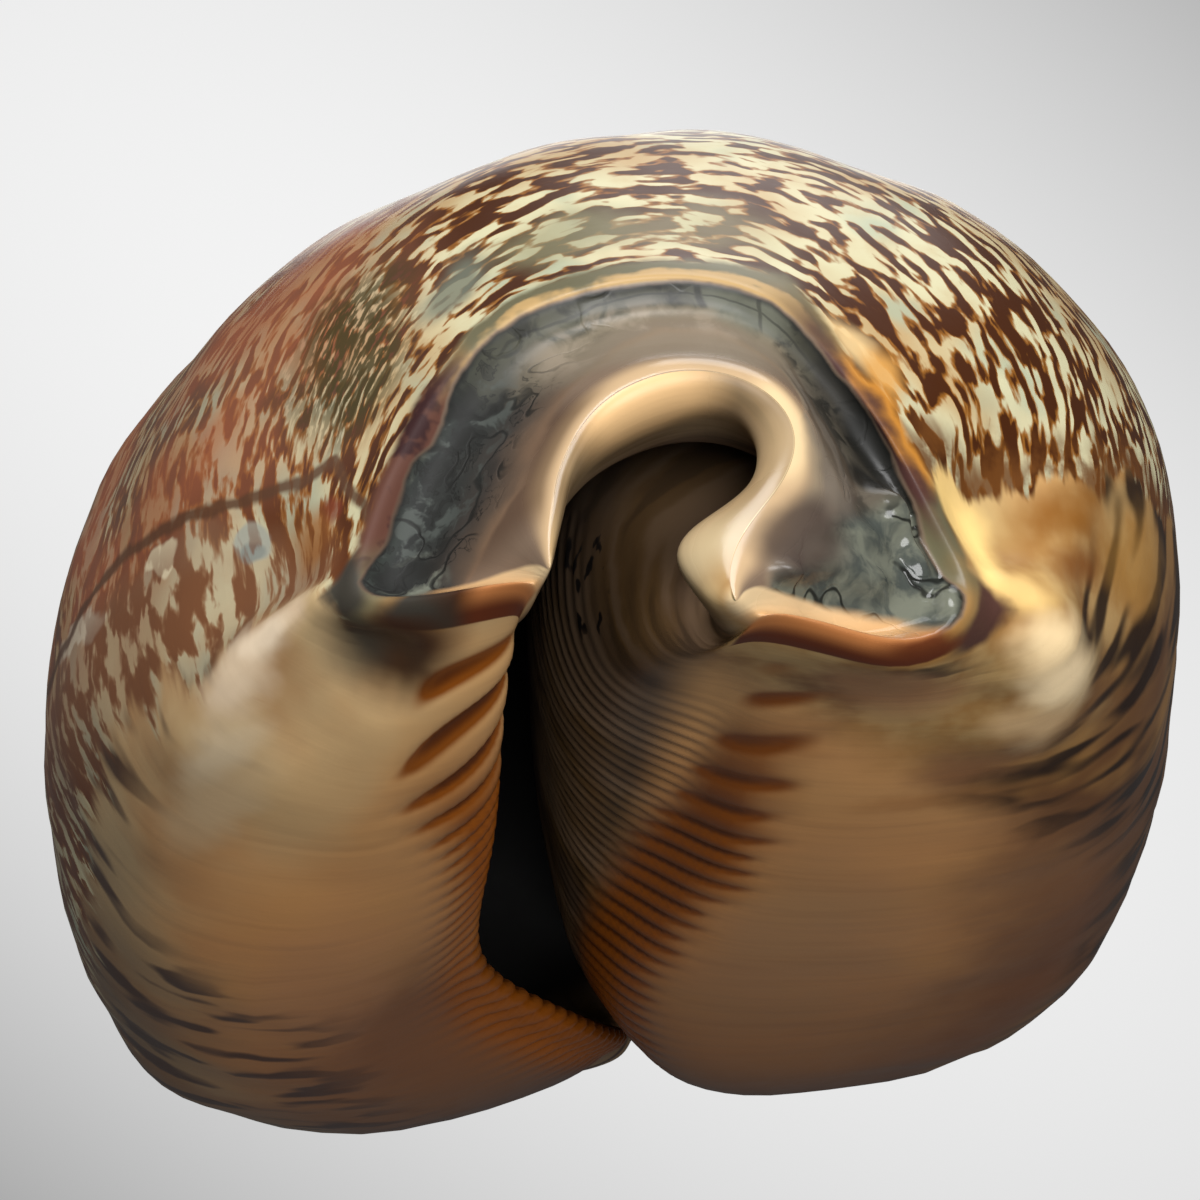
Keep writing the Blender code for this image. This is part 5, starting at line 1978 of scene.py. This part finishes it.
@dataclass
class Studio:
    """A pale floor, soft lamps and the camera."""

    floor_size: float = 1.6
    lamps: tuple[SoftBox, ...] = (
        SoftBox("key", (-0.06, -0.40, 0.24), 0.26, 2.2),
        SoftBox("top", (0.12, -0.04, 0.42), 0.26, 0.5),
        SoftBox("low front", (0.06, -0.42, -0.15), 0.24, 2.1),
        SoftBox("back", (0.05, 0.30, 0.38), 0.30, 0.45),
    )
    backdrop: float = 0.78  # how bright the surroundings look
    backdrop_light: float = 0.10  # how much light they give
    camera_target: Point = (0.65, 0.96, 20.86)
    camera_distance: float = 120.0
    camera_tilt: float = -26.0
    camera_turn: float = 4.5
    camera_roll: float = -6.8
    focal: float = 75.9

    def build(self) -> None:
        """Builds the studio."""
        bpy.context.scene.view_settings.view_transform = "Standard"
        self.build_floor()
        self.build_sky()
        for lamp in self.lamps:
            self.hang(lamp)
        self.place_camera()

    def build_floor(self) -> None:
        """The floor, solid from above and clear from below."""
        half = self.floor_size / 2.0
        mesh = bpy.data.meshes.new("floor")
        corners = [(-half, -half, 0), (half, -half, 0), (half, half, 0), (-half, half, 0)]
        mesh.from_pydata(corners, [], [(0, 1, 2, 3)])
        floor = bpy.data.objects.new("floor", mesh)
        bpy.context.scene.collection.objects.link(floor)
        p = Painter.of("floor paint")
        shader = p.add("ShaderNodeBsdfPrincipled")
        shader.inputs["Roughness"].default_value = 0.6
        tone = p.noise(p.add("ShaderNodeTexCoord").outputs["Object"], 0.25, 3.0)
        p.feed(shader.inputs["Base Color"], p.mix(tone, (0.72, 0.72, 0.72), (0.78, 0.78, 0.78)))
        clear = p.add("ShaderNodeBsdfTransparent")
        side = p.add("ShaderNodeMixShader")
        p.feed(side.inputs[0], p.add("ShaderNodeNewGeometry").outputs["Backfacing"])
        p.feed(side.inputs[1], shader.outputs[0])
        p.feed(side.inputs[2], clear.outputs[0])
        p.feed(p.add("ShaderNodeOutputMaterial").inputs["Surface"], side.outputs[0])
        mesh.materials.append(p.material)
        floor.visible_shadow = floor.visible_glossy = floor.visible_diffuse = False

    def axes(self) -> tuple[Vector, Vector, Vector]:
        """The camera's right, up and forward directions.

        Returns:
            Three unit vectors.
        """
        tilt, turn, roll = (math.radians(a) for a in (self.camera_tilt, self.camera_turn, self.camera_roll))
        ahead = Vector((math.sin(turn) * math.cos(tilt), math.cos(turn) * math.cos(tilt), -math.sin(tilt)))
        right = ahead.cross(Vector((0.0, 0.0, 1.0))).normalized()
        up = right.cross(ahead)
        return (
            math.cos(roll) * right + math.sin(roll) * up,
            math.cos(roll) * up - math.sin(roll) * right,
            ahead,
        )

    def build_sky(self) -> None:
        """The pale surroundings, a soft pool of light on them behind the shell."""
        world = bpy.data.worlds.new("studio")
        world.use_nodes = True
        p = Painter(world.node_tree)
        across, upward, ahead = self.axes()
        look = p.add("ShaderNodeTexCoord").outputs["Generated"]
        a, b, c = (p.dot(look, tuple(axis)) for axis in (across, upward, ahead))
        a, b = (p.math("MINIMUM", p.math("MAXIMUM", p.times(n, 4.2), -1.1), 1.1) for n in (a, b))
        tone = p.math("SUBTRACT", 0.90, p.times(a, a, 0.12))
        tone = p.math("SUBTRACT", tone, p.times(b, b, 0.18))
        tone = p.math("SUBTRACT", tone, p.times(a, b, 0.20))
        tone = p.math("ADD", tone, p.times(b, 0.04))
        tone = p.blend(p.step(c, 0.80, 0.93), self.backdrop, tone)
        seen = p.add("ShaderNodeLightPath").outputs["Is Camera Ray"]
        background = p.add("ShaderNodeBackground")
        background.inputs["Color"].default_value = (1.0, 1.0, 1.0, 1.0)
        p.feed(background.inputs["Strength"], p.blend(seen, self.backdrop_light, tone))
        p.feed(p.add("ShaderNodeOutputWorld").inputs["Surface"], background.outputs[0])
        bpy.context.scene.world = world

    def hang(self, lamp: SoftBox) -> None:
        """Hangs one lamp, facing the shell.

        Args:
            lamp: The lamp.
        """
        data = bpy.data.lights.new(lamp.name, "AREA")
        data.shape = "DISK"
        data.size = lamp.size
        data.energy = lamp.power
        obj = bpy.data.objects.new(lamp.name, data)
        obj.location = lamp.place
        aim = Vector((0.0, 0.0, 0.018)) - Vector(lamp.place)
        obj.rotation_euler = aim.to_track_quat("-Z", "Y").to_euler()
        bpy.context.scene.collection.objects.link(obj)

    def place_camera(self) -> None:
        """Places the camera, low in front of the shell."""
        x_axis, y_axis, ahead = self.axes()
        data = bpy.data.cameras.new("camera")
        data.lens = self.focal
        data.sensor_width = 36.0
        data.clip_start = 0.001
        camera = bpy.data.objects.new("camera", data)
        place = (Vector(self.camera_target) - self.camera_distance * ahead) * MM
        turned = Matrix((x_axis, y_axis, -ahead)).transposed().to_4x4()
        camera.matrix_world = Matrix.Translation(place) @ turned
        bpy.context.scene.collection.objects.link(camera)
        bpy.context.scene.camera = camera


# ---------------------------------------------------------------- assembly
def main() -> None:
    """Builds the shell's skin and the studio, and reports each piece."""
    logging.basicConfig(level=logging.INFO, format="%(name)s: %(message)s")
    enamel = ShellEnamel()
    skin = ShellSkin().build({zone: enamel.material(zone) for zone in ZONES})
    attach(skin, "root")
    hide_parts(NODE)
    LOG.info("%s: %d faces", skin.name, len(skin.data.polygons))
    Studio().build()
    LOG.info("studio: floor, %d lamps, camera", len(Studio().lamps))


if __name__ == "__main__":
    main()
